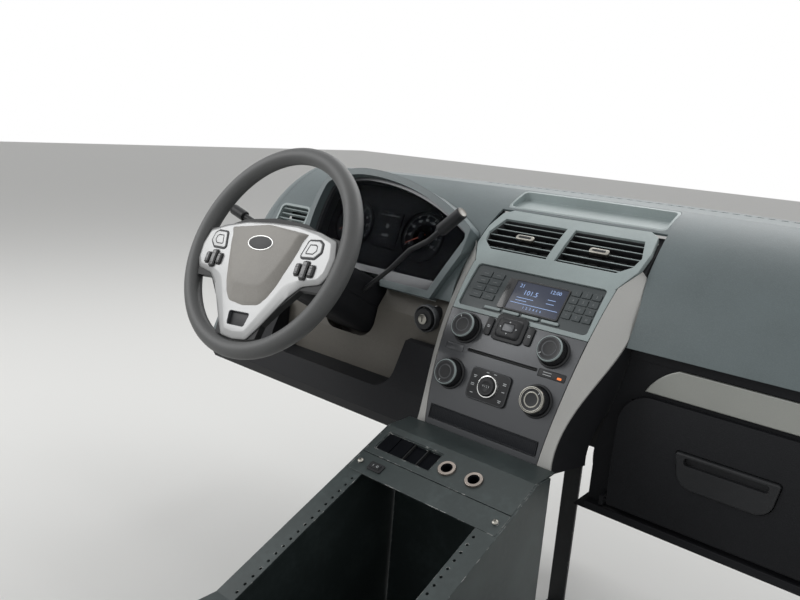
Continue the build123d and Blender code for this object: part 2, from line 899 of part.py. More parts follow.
def radio():
    with BuildPart() as panel:
        add(slab(radio_low_deg - 1, radio_high_deg + 1, radio_half + 9, -stack_t - panel_sink, -radio_sink))
        add(radio_window(-reveal), mode=Mode.INTERSECT)
        with BuildSketch(stack_plane(screen_x, screen_deg, -radio_sink - 1)):
            RectangleRounded(screen_w, screen_h, 3)
        extrude(amount=20, mode=Mode.SUBTRACT)
        for x, cols, rows, pitch_x, w in ((-82, 2, 4, 24, 22), (89, 3, 4, 17, 15)):
            with BuildSketch(stack_plane(x, 40.2, -radio_sink - 1)):
                with GridLocations(pitch_x, 13.5, cols, rows):
                    RectangleRounded(w, 11, 1.5)
            extrude(amount=key_out + 1)
        for x in softkey_x:
            with BuildSketch(stack_plane(x, 35.5, -radio_sink - 1)):
                RectangleRounded(28, 6, 1.5)
            extrude(amount=key_out + 1)
    write(panel.part, "radio_panel")
    with BuildPart() as screen:
        with BuildSketch(stack_plane(screen_x, screen_deg, -radio_sink - 0.9)):
            RectangleRounded(screen_w - 2 * seat, screen_h - 2 * seat, 3)
        extrude(amount=1.4)
    write(screen.part, "radio_screen")


def vents():
    line = math.degrees(reveal / stack_r)
    table = mirrored([(126, radio_high_deg + line), (146, 49.6), (148.5, 54.6), (142, 59.4), (126, top_deg)])
    with BuildPart() as bezel:
        add(rim_panel(radio_high_deg + line, top_deg, 0, stack_t, table, vent_mid_deg))
        add(radio_surround())
        add(radio_window(), mode=Mode.SUBTRACT)
        for side in (-1, 1):
            add(vent_slice(side, duct_wall + seat, vent_low_deg - 1.5, vent_high_deg + 1.5, -duct_d, -1))
            add(vent_slice(side, seat, vent_low_deg - 5, top_deg + 2, -duct_d - 5, 9), mode=Mode.SUBTRACT)
    write(bezel.part, "vent_bezel")
    for side, name in ((-1, "left"), (1, "right")):
        with BuildPart() as core:
            for k in range(vane_count):
                x = side * (vane_x0 + k * vane_pitch)
                with BuildSketch(stack_plane(x, vent_mid_deg, -28)):
                    Rectangle(slat_t, 90)
                extrude(amount=9)
            for k in range(slat_count):
                deg = vent_low_deg + (k + 0.5) * (vent_high_deg - vent_low_deg) / slat_count
                with BuildSketch(stack_plane(side * 75, deg, -19.5)):
                    Rectangle(150, slat_t)
                extrude(amount=slat_d + 3)
            with BuildSketch(stack_plane(side * tab_x, vent_mid_deg, -8)):
                RectangleRounded(tab_w, tab_h, 3)
            extrude(amount=8)
            add(vent_slice(side, 0.2, vent_low_deg - 9, top_deg + 5, -40, 9), mode=Mode.INTERSECT)
            add(vent_ring(side))
        write(core.part, f"centre_vent_{name}")


def radio_surround():
    """Bars of the bezel at the radio's sides, not yet cut for the radio."""
    line = math.degrees(reveal / stack_r)
    with BuildPart(mode=Mode.PRIVATE) as piece:
        add(slab(surround_low_deg, radio_high_deg + 2 * line, 170, -stack_t - panel_sink, 0))
        add(stack_prism(inner_outline(-reveal), 40), mode=Mode.INTERSECT)
    return piece.part


def vent_slice(side, grow, deg0, deg1, inner, outer):
    """Stretch of a centre vent's outline between two angles and two lifts."""
    outline = [(side * x, deg) for x, deg in vent_outline]
    with BuildPart(mode=Mode.PRIVATE) as piece:
        add(slab(deg0, deg1, 170, inner, outer))
        add(stack_prism(outline, vent_mid_deg, grow), mode=Mode.INTERSECT)
    return piece.part


def vent_ring(side):
    """Thin wall round a centre vent's vanes."""
    with BuildPart(mode=Mode.PRIVATE) as piece:
        add(vent_slice(side, 0, 40, 66, -28, -5))
        add(vent_slice(side, -1.6, 40, 66, -30, 0), mode=Mode.SUBTRACT)
    return piece.part


def knob(x, deg, name):
    with BuildPart() as dial:
        base = stack_plane(x, deg, 0.05)
        with BuildSketch(base):
            Circle(collar_r)
        extrude(amount=3)
        with BuildSketch(base.offset(3)):
            Circle(knob_r)
        extrude(amount=knob_out - 3, taper=4)
        fillet(dial.edges().filter_by(GeomType.CIRCLE).group_by(SortBy.RADIUS)[0], 2)
        with BuildSketch(base.offset(knob_out - 1.2)):
            with Locations((0, knob_r - 7)):
                Rectangle(2, 8)
        extrude(amount=3, mode=Mode.SUBTRACT)
    write(dial.part, name)


def stack_controls():
    for deg, row in ((knob_high_deg, "upper"), (knob_low_deg, "lower")):
        for side, name in ((-1, "left"), (1, "right")):
            knob(side * knob_x, deg, f"knob_{row}_{name}")
    with BuildPart() as rocker:
        base = stack_plane(nav_x, nav_deg, 0.05)
        with BuildSketch(base):
            RectangleRounded(nav_w, nav_h, 9)
        extrude(amount=3)
        with BuildSketch(base.offset(3)):
            RectangleRounded(nav_w - 14, nav_h - 12, 7)
        extrude(amount=4, taper=12)
        for side in (-1, 1):
            with BuildSketch(stack_plane(nav_x + side * (nav_w / 2 + 9), nav_deg - 0.4, 0.05)):
                RectangleRounded(12, 30, 4)
            extrude(amount=3)
    write(rocker.part, "radio_rocker")
    with BuildPart() as climate:
        base = stack_plane(dial_x, dial_deg, 0.05)
        with BuildSketch(base):
            RectangleRounded(dial_w, dial_h, 9)
            Circle(dial_r, mode=Mode.SUBTRACT)
        extrude(amount=3.5)
        with BuildSketch(base):
            Circle(dial_r - 1.5)
        extrude(amount=11, taper=4)
        with BuildSketch(base):
            Circle(dial_r)
        extrude(amount=1.6)
    write(climate.part, "climate_dial")


def driver_line(shift=0.0):
    """Points down the face of the driver's panel, moved back by a distance."""
    return [(y + shift, z) for y, z in panel_face]


def column_panel():
    outline = driver_line() + list(reversed(driver_line(wall)))
    with BuildPart() as panel:
        with BuildSketch(Plane.YZ.offset(-pad_half)):
            with BuildLine():
                Polyline(*outline, close=True)
            make_face()
        extrude(amount=pad_half - driver_end_x)
        add(stack_envelope(reveal), mode=Mode.SUBTRACT)
        add(hood_body(seat), mode=Mode.SUBTRACT)
        add(column_room(), mode=Mode.SUBTRACT)
        with BuildSketch(Plane.XZ.offset(150)):
            with Locations((lock_x, lock_z)):
                Circle(lock_r - 3 + seat)
        extrude(amount=150, mode=Mode.SUBTRACT)
        add(column_collar())
    write(panel.part, "column_panel")


def column_collar():
    """Cup behind the shroud's end that closes the view into the dash."""
    swing = (shroud_far - tilt_at) * math.sin(math.radians(tilt_swing_deg)) + clear
    width = shroud_w1 + 2 * clear
    height = shroud_h1 + 2 * swing
    r = shroud_r + clear
    with BuildPart(mode=Mode.PRIVATE) as cup:
        with BuildSketch(column_plane(collar_far)):
            RectangleRounded(width + 2 * wall, height + 2 * wall, r + wall)
        extrude(amount=shroud_far + collar_lap - collar_far)
        with BuildSketch(column_plane(collar_far + wall)):
            RectangleRounded(width, height, r)
        extrude(amount=shroud_far + collar_lap - collar_far, mode=Mode.SUBTRACT)
        with BuildSketch(column_plane(collar_far - 1)):
            Circle(jacket_r + clear)
        extrude(amount=wall + 2, mode=Mode.SUBTRACT)
        add(hood_body(seat), mode=Mode.SUBTRACT)
        with BuildSketch(Plane.YZ.offset(wheel_x - width)):
            with BuildLine():
                ahead = collar_lap * 5
                Polyline((panel_top_y - ahead, ahead), (panel_top_y, ahead), *driver_line(),
                         (panel_top_y - ahead, panel_low_z), close=True)
            make_face()
        extrude(amount=2 * width, mode=Mode.SUBTRACT)
    return cup.part


def knee_cut(grow=0.0):
    """Space round the column that the knee panel leaves free."""
    half = knee_cut_half + grow
    with BuildPart(mode=Mode.PRIVATE) as piece:
        with BuildSketch(Plane.XZ.offset(150)):
            with Locations((wheel_x, (knee_cut_low_z - grow + 60) / 2)):
                RectangleRounded(2 * half, 60 - knee_cut_low_z + grow, knee_cut_r + grow)
        extrude(amount=250)
    return piece.part


def knee_panel():
    start = -pad_half
    end = -driver_end_x
    with BuildPart(mode=Mode.PRIVATE) as inside:
        with BuildSketch(Plane.YZ.offset(start + wall)):
            with BuildLine():
                Polyline(*knee_hollow, close=True)
            make_face()
        extrude(amount=end - start)
        add(knee_cut(wall), mode=Mode.SUBTRACT)
        add(stack_envelope(reveal + wall), mode=Mode.SUBTRACT)
    with BuildPart() as panel:
        with BuildSketch(Plane.YZ.offset(start)):
            with BuildLine():
                Polyline(*knee_skin, close=True)
            make_face()
        extrude(amount=end - start)
        add(knee_cut(), mode=Mode.SUBTRACT)
        add(stack_envelope(reveal), mode=Mode.SUBTRACT)
        add(inside.part, mode=Mode.SUBTRACT)
    write(panel.part, "knee_panel")


def lock():
    with BuildPart() as barrel:
        front = Plane(origin=(lock_x, lock_y + 16, lock_z), x_dir=(1, 0, 0), z_dir=(0, -1, 0))
        with BuildSketch(front):
            Circle(lock_r)
        extrude(amount=16, taper=8)
        with BuildSketch(front):
            Circle(lock_r - 3)
        extrude(amount=-lock_len)
        with BuildSketch(front.offset(14)):
            Circle(9)
        extrude(amount=4)
        with BuildSketch(front.offset(11)):
            Rectangle(2.2, 10)
        extrude(amount=9, mode=Mode.SUBTRACT)
    write(barrel.part, "ignition_lock")


def passenger_carrier():
    x0, x1 = 108, pad_half
    back = strip_y + strip_t + seat
    outer = [(band_y, lip_z - 0.6), (band_y, strip_top_z + 1), (back, strip_top_z + 1), (back, lower_z + 14),
             (-206, lower_z + 12), (-206, lower_z), (-110, lower_z), (-110, lower_z + wall),
             (back + wall, lower_z + wall), (back + wall, lip_z - 0.6)]
    with BuildPart() as carrier:
        with BuildSketch(Plane.YZ.offset(x0)):
            with BuildLine():
                Polyline(*outer, close=True)
            make_face()
        extrude(amount=x1 - x0)
        add(stack_envelope(reveal), mode=Mode.SUBTRACT)
        with BuildSketch(Plane.XZ.offset(120)):
            with Locations(((glove_x0 + glove_x1) / 2, (glove_top_z - bin_inset + lower_z + 17) / 2)):
                Rectangle(glove_x1 - glove_x0 - 2 * bin_inset, glove_top_z - bin_inset - lower_z - 17)
        extrude(amount=120, mode=Mode.SUBTRACT)
        with BuildSketch(Plane.YZ.offset(glove_x0 - glove_gap)):
            with Locations((glove_hinge_y, glove_hinge_z)):
                Circle(glove_thick / 2 + glove_gap)
        extrude(amount=glove_x1 - glove_x0 + 2 * glove_gap, mode=Mode.SUBTRACT)
        for x in (glove_x0 - glove_gap - 6, glove_x1 + glove_gap):
            with BuildSketch(Plane.YZ.offset(x)):
                with BuildLine():
                    Polyline((back + 2, glove_hinge_z + 14), (glove_hinge_y - 6, glove_hinge_z + 6),
                             (glove_hinge_y - 6, glove_hinge_z - 8), (back + 2, glove_hinge_z - 12),
                             close=True)
                make_face()
                with Locations((glove_hinge_y, glove_hinge_z)):
                    Circle(glove_pin_r + seat / 2, mode=Mode.SUBTRACT)
            extrude(amount=6)
    write(carrier.part, "passenger_carrier")


def strip():
    with BuildPart() as trim:
        with BuildSketch(Plane.XZ.offset(-strip_y - strip_t)):
            with BuildLine():
                low = strip_low_z
                top = strip_top_z
                lead = strip_x0 + strip_lead
                Polyline((strip_x0, low), (strip_x1, low), (strip_x1, top), (lead, top))
                ThreePointArc((lead, top), (strip_x0 + strip_lead * 0.42, top - 17), (strip_x0, low))
            make_face()
        extrude(amount=strip_t)
        fillet(trim.edges().group_by(Axis.Y)[0], 1.5)
    write(trim.part, "trim_strip")


def latch_outline(grow=0.0):
    """Outline of the glovebox latch, wide at the top and round below."""
    top = latch_z + latch_half_h
    low = latch_z - latch_half_h
    with BuildSketch(mode=Mode.PRIVATE) as face:
        with BuildLine():
            Polyline((latch_x - latch_half, top), (latch_x + latch_half, top),
                     (latch_x + latch_low_half, low), (latch_x - latch_low_half, low), close=True)
        make_face()
        fillet(face.vertices().group_by(Axis.Y)[0], latch_r)
        fillet(face.vertices().group_by(Axis.Y)[-1], 5)
        if grow:
            offset(amount=grow)
    return face.sketch


def glovebox():
    y0 = glove_hinge_y - glove_thick / 2
    y1 = glove_hinge_y + glove_thick / 2
    r = glove_thick / 2
    with BuildPart() as door:
        with BuildSketch(Plane.YZ.offset(glove_x0)):
            with BuildLine():
                middle = (glove_top_z + glove_hinge_z) / 2
                ThreePointArc((y0 + 3, glove_top_z), (y0 - glove_belly, middle), (y0, glove_hinge_z))
                ThreePointArc((y0, glove_hinge_z), (glove_hinge_y, glove_hinge_z - r), (y1, glove_hinge_z))
                Polyline((y1, glove_hinge_z), (y1, glove_top_z), (y0 + 3, glove_top_z))
            make_face()
        extrude(amount=glove_x1 - glove_x0)
        with BuildSketch(Plane.XZ.offset(-y1 - 1)):
            r_corner = glove_corner_r
            with Locations((glove_x0 + r_corner / 2, glove_top_z - r_corner / 2)):
                Rectangle(r_corner, r_corner)
            with Locations((glove_x0 + r_corner, glove_top_z - r_corner)):
                Circle(r_corner, mode=Mode.SUBTRACT)
        extrude(amount=40, mode=Mode.SUBTRACT)
        with BuildSketch(Plane.XZ.offset(-y0 - latch_sink)):
            add(latch_outline())
        extrude(amount=30, mode=Mode.SUBTRACT)
        for x, d in ((glove_x0, -1), (glove_x1, 1)):
            with BuildSketch(Plane.YZ.offset(x)):
                with Locations((glove_hinge_y, glove_hinge_z)):
                    Circle(glove_pin_r)
            extrude(amount=d * (glove_gap + 5))
    write(door.part, "glovebox_door")
    with BuildPart() as latch:
        with BuildSketch(Plane.XZ.offset(seat - y0 - latch_sink)):
            add(latch_outline(-reveal))
        extrude(amount=latch_sink + glove_belly + latch_out)
        fillet(latch.faces().sort_by(Axis.Y)[0].edges(), 3)
        with BuildSketch(Plane.XZ.offset(-y0)):
            with Locations((latch_x, latch_z + latch_half_h - 12)):
                RectangleRounded(2 * latch_half - 30, 12, 5)
        extrude(amount=40, mode=Mode.SUBTRACT)
    write(latch.part, "glovebox_latch")
    with BuildPart() as tub:
        half_w = (glove_x1 - glove_x0) / 2 - bin_inset - seat
        height = glove_top_z - bin_inset - lower_z - 34
        back = strip_y + strip_t + seat + wall
        with BuildSketch(Plane.XZ.offset(-back - seat)):
            with Locations(((glove_x0 + glove_x1) / 2, glove_top_z - bin_inset - height / 2)):
                RectangleRounded(2 * half_w + 16, height + 12, 8)
        extrude(amount=-bin_wall)
        with BuildSketch(Plane.XZ.offset(-back - seat)):
            with Locations(((glove_x0 + glove_x1) / 2, glove_top_z - bin_inset - height / 2)):
                RectangleRounded(2 * half_w, height, 12)
        extrude(amount=-bin_depth, taper=3)
        with BuildSketch(Plane.XZ.offset(-back - seat)):
            with Locations(((glove_x0 + glove_x1) / 2, glove_top_z - bin_inset - height / 2)):
                RectangleRounded(2 * (half_w - bin_wall), height - 2 * bin_wall, 10)
        extrude(amount=-bin_depth + bin_wall, taper=3, mode=Mode.SUBTRACT)
    write(tub.part, "glovebox_bin")


def end_caps():
    y = lip_y + end_pull
    back = glass_y - glass_bow
    top = glass_z - end_drop
    for side, name in ((-1, "left"), (1, "right")):
        low = [(-206, -40), (-258, -74), (-312, -190), (-300, knee_low_z)]
        if side > 0:
            low = [(-202, -40), (-206, lower_z)]
        with BuildSketch() as outline:
            with BuildLine():
                crest = (crest_y + end_pull, crest_z - end_drop)
                lip = (y, lip_z)
                Line((back, top), crest)
                ThreePointArc(crest, (mid_y + end_pull, mid_z - end_drop), lip)
                Polyline(lip, *low, (-110, low[-1][1]), (-110, 68), (back, 68), (back, top))
            make_face()
        with BuildPart() as cap:
            add(cap_layer(outline.sketch, side, 0, 1.0))
            add(cap_layer(outline.sketch, side, wall, 1 - wall / cap_reach), mode=Mode.SUBTRACT)
        write(cap.part, f"end_cap_{name}")


def cap_layer(outline, side, inward, share):
    """Outside of an end cap, or its inside when moved inward and made smaller."""
    start = pad_half + seat - inward
    rows = ((start, 1.0), (start + cap_l * 0.5, cap_mid_scale), (start + cap_l, cap_scale))
    with BuildPart(mode=Mode.PRIVATE) as layer:
        for x, size in rows:
            with BuildSketch(Plane.YZ.offset(side * x)):
                add(outline)
                scale(by=size * share)
        loft()
    return layer.part


def column():
    py, pz = pivot_point()
    with BuildPart() as jacket:
        with BuildSketch(column_plane(tilt_at - 26)):
            Circle(jacket_r)
        extrude(amount=boss_back - 14 - tilt_at + 26)
        with BuildSketch(Plane.YZ.offset(wheel_x - jacket_r - cheek_gap - cheek_t - 3)):
            with Locations((py, pz)):
                Circle(tilt_pin_r)
        extrude(amount=2 * (jacket_r + cheek_gap + cheek_t + 3))
        with BuildSketch(column_plane(tilt_at - 26 + bearing_l)):
            Circle(shaft_r + 5)
        extrude(amount=boss_back - 14 - tilt_at + 26 - 2 * bearing_l, mode=Mode.SUBTRACT)
        with BuildSketch(column_plane(tilt_at - 30)):
            Circle(shaft_r + 0.3)
        extrude(amount=400, mode=Mode.SUBTRACT)
    write(jacket.part, "column_jacket")
    with BuildPart(mode=Mode.PRIVATE) as core:
        t = shroud_wall
        with BuildSketch(column_plane(shroud_far - 0.1)):
            RectangleRounded(shroud_w1 - 2 * t, shroud_h1 - 2 * t, shroud_r - t)
        with BuildSketch(column_plane(shroud_near - t)):
            RectangleRounded(shroud_w0 - 2 * t, shroud_h0 - 2 * t, shroud_r - t)
        loft()
        with BuildSketch(column_plane(shroud_near - t - 1)):
            Circle(jacket_r + seat)
        extrude(amount=t + 3)
    for side, name in ((1, "upper"), (-1, "lower")):
        with BuildPart() as half:
            add(shroud_body())
            add(core.part, mode=Mode.SUBTRACT)
            with BuildSketch(column_plane(shroud_far - 5)):
                with Locations((0, side * 100 + side * seat / 2)):
                    Rectangle(400, 200)
            extrude(amount=300, mode=Mode.INTERSECT)
            for w in (shroud_far + 30, shroud_near - 40):
                with BuildSketch(column_plane(w)):
                    with Locations((0, side * (shroud_h0 / 2 - 10))):
                        Rectangle(6, 24)
                    Circle(jacket_r + seat, mode=Mode.SUBTRACT)
                extrude(amount=3)
        write(half.part, f"shroud_{name}")


def shroud_body(grow=0.0):
    """Solid inside the outside of the column's shroud."""
    with BuildPart(mode=Mode.PRIVATE) as shell:
        with BuildSketch(column_plane(shroud_far)):
            RectangleRounded(shroud_w1 + 2 * grow, shroud_h1 + 2 * grow, shroud_r + grow)
        with BuildSketch(column_plane(shroud_near)):
            RectangleRounded(shroud_w0 + 2 * grow, shroud_h0 + 2 * grow, shroud_r + grow)
        loft()
    return shell.part


def lever(points, radii, r, name, knob=None):
    """Rod through the points, cut to seat on the shroud, with a knob at its end."""
    with BuildPart() as rod:
        with BuildLine() as path:
            FilletPolyline(*points, radius=radii)
        with BuildSketch(Plane(origin=path.line @ 0, z_dir=path.line % 0)):
            Circle(r)
        sweep()
        if knob:
            knob_len, knob_r_big = knob
            tip = Plane(origin=path.line @ 1, z_dir=path.line % 1)
            with BuildSketch(tip.offset(-6)):
                Circle(knob_r_big)
            extrude(amount=knob_len)
            round_edges = rod.edges().filter_by(GeomType.CIRCLE)
            fillet(round_edges.filter_by(lambda e: abs(e.radius - knob_r_big) < 0.1), knob_r_big * 0.25)
        add(shroud_body(seat), mode=Mode.SUBTRACT)
    write(rod.part, name)


def spoke_outline(grow=0.0, reach=0.0):
    """Three-lobed outline of the spokes."""
    right = []
    for x, y in spoke_right:
        along = reach if x > 149 else 0
        down = reach if y < -149 else 0
        right.append((x + along, y - down))
    with BuildSketch(mode=Mode.PRIVATE) as face:
        with BuildLine():
            Polyline((0, spoke_top), *right, *[(-x, y) for x, y in reversed(right)], close=True)
        make_face()
        if grow:
            offset(amount=grow)
    return face.sketch


def wheel_parts():
    turn = wheel_turn_deg
    low = column_plane(-frame_t / 2, turn)
    high = column_plane(frame_t / 2 + seat, turn)
    with BuildPart() as armature:
        with BuildSketch(low):
            add(spoke_outline(-1, 12))
        extrude(amount=frame_t)
        with BuildSketch(low):
            Circle(rim_r - rim_tube_r + 3)
        extrude(amount=frame_t, mode=Mode.INTERSECT)
        with BuildSketch(column_plane(boss_back, turn)):
            Circle(30)
        extrude(amount=-boss_back - frame_t / 2 + 1)
        with BuildSketch(column_plane(shaft_far, turn)):
            Circle(shaft_r)
        extrude(amount=boss_back - shaft_far)
        add(torus(rim_tube_r + seat), mode=Mode.SUBTRACT)
        with BuildSketch(column_plane(-20, turn)):
            with Locations((0, spoke_hole_y)):
                RectangleRounded(spoke_hole_w + 4, spoke_hole_h + 4, 6)
        extrude(amount=60, mode=Mode.SUBTRACT)
    write(armature.part, "wheel_frame")
    with BuildPart() as ring:
        add(torus(rim_tube_r))
    write(ring.part, "wheel_rim")
    with BuildPart() as bezel:
        with BuildSketch(high):
            add(spoke_outline(-1))
            add(cover_outline(reveal), mode=Mode.SUBTRACT)
            with Locations((0, spoke_hole_y)):
                RectangleRounded(spoke_hole_w, spoke_hole_h, 5, mode=Mode.SUBTRACT)
        extrude(amount=bezel_t)
        for side in (-1, 1):
            with BuildSketch(high):
                for y, w, h in switch_rows:
                    with Locations((side * switch_x, y)):
                        RectangleRounded(w + 2 * seat, h + 2 * seat, 5)
            extrude(amount=bezel_t, mode=Mode.SUBTRACT)
        add(torus(rim_tube_r + seat), mode=Mode.SUBTRACT)
    write(bezel.part, "spoke_bezel")
    with BuildPart() as cover:
        with BuildSketch(high):
            add(cover_outline())
        with BuildSketch(column_plane(cover_out, turn)):
            add(cover_outline(-12))
        loft()
        with BuildSketch(column_plane(cover_out - 1, turn)):
            Ellipse(oval_half_w, oval_half_h)
        extrude(amount=5, mode=Mode.SUBTRACT)
    write(cover.part, "airbag_cover")
    for side, name in ((-1, "left"), (1, "right")):
        with BuildPart() as pad:
            for y, w, h in switch_rows:
                with BuildSketch(high):
                    with Locations((side * switch_x, y)):
                        RectangleRounded(w, h, 5)
                extrude(amount=bezel_t + 2.5)
        write(pad.part, f"wheel_switches_{name}")


def torus(r):
    """Ring of the wheel's rim with a tube of the given radius."""
    with BuildPart(mode=Mode.PRIVATE) as ring:
        with BuildSketch(Plane.XZ):
            with Locations((rim_r, 0)):
                Circle(r)
        revolve(axis=Axis.Z)
    return column_plane(0, wheel_turn_deg).location * ring.part


def cover_outline(grow=0.0):
    """Trapezoid of the airbag cover."""
    with BuildSketch(mode=Mode.PRIVATE) as face:
        with BuildLine():
            left = [(-x, y) for x, y in reversed(cover_right)]
            Polyline((0, cover_top), *cover_right, (0, cover_low), *left, close=True)
        make_face()
        fillet(face.vertices(), cover_r)
        if grow:
            offset(amount=grow)
    return face.sketch


def levers():
    lever(shift_path, shift_bends, shift_r, "shift_lever", shift_knob)
    lever(turn_path, turn_bends, turn_r, "turn_stalk", turn_knob)
    lever(tilt_path, tilt_bends, tilt_r, "tilt_lever")


def slope_points():
    a = math.radians(slope_deg)
    y1 = fold_y - slope_len * math.cos(a)
    z1 = fold_z - slope_len * math.sin(a)
    return ((fold_y, fold_z), (y1, z1), (y1 - level_len, z1))


def rail_outline():
    """Side view of a rail on the console's top, mitred at its bend."""
    a = math.radians(slope_deg)
    fold, bend, end = slope_points()
    start = (fold[0] - bay_at * math.cos(a), fold[1] - bay_at * math.sin(a))
    below = (start[0] + sheet_t * math.sin(a), start[1] - sheet_t * math.cos(a))
    mitre = (bend[0] + sheet_t * math.tan(a / 2), bend[1] - sheet_t)
    return [start, bend, end, (end[0], end[1] - sheet_t), mitre, below]


def console():
    fold, bend, end = slope_points()
    front_y = fold[0] + cheek_ahead
    low_front = (front_y, floor_z)
    low_back = (end[0], floor_z)
    for side, name in ((-1, "left"), (1, "right")):
        outer_x = side * console_half
        inner_x = side * rail_inner
        with BuildPart() as cheek:
            with BuildSketch(Plane.YZ.offset(min(outer_x, outer_x - side * sheet_t))):
                with BuildLine():
                    Polyline((front_y, console_front_z - 3), fold, bend, end, low_back, low_front,
                             close=True)
                make_face()
            extrude(amount=sheet_t)
            with BuildSketch(Plane.YZ.offset(min(inner_x, outer_x - side * sheet_t / 2))):
                with BuildLine():
                    Polyline(*rail_outline(), close=True)
                make_face()
            extrude(amount=console_half - rail_inner - sheet_t / 2)
            holes = int((slope_len - bay_at - 2 * rail_end) / rail_pitch)
            with BuildSketch(console_plane(inner_x + side * rail_hole_in, bay_at, -2 * sheet_t)):
                with Locations(*[(0, -rail_end - k * rail_pitch) for k in range(holes + 1)]):
                    Circle(rail_hole_r)
            extrude(amount=3 * sheet_t, mode=Mode.SUBTRACT)
            holes = int((level_len - 2 * rail_end) / rail_pitch)
            with BuildSketch(Plane.XY.offset(bend[1] - 2 * sheet_t)):
                with Locations(*[(inner_x + side * rail_hole_in, bend[0] - rail_end - k * rail_pitch)
                                 for k in range(holes + 1)]):
                    Circle(rail_hole_r)
            extrude(amount=3 * sheet_t, mode=Mode.SUBTRACT)
            with BuildSketch(Plane.XY.offset(floor_z)):
                with Locations((side * (console_half - console_foot_w / 2), (front_y + end[0]) / 2)):
                    Rectangle(console_foot_w, front_y - end[0] - 8)
            extrude(amount=sheet_t)
            with BuildSketch(Plane.XY.offset(floor_z - 1)):
                with Locations((side * (console_half - console_foot_in), (front_y + end[0]) / 2)):
                    with GridLocations(1, console_foot_pitch, 1, 4):
                        Circle(foot_hole_r)
            extrude(amount=sheet_t + 2, mode=Mode.SUBTRACT)
        write(cheek.part, f"console_side_{name}")


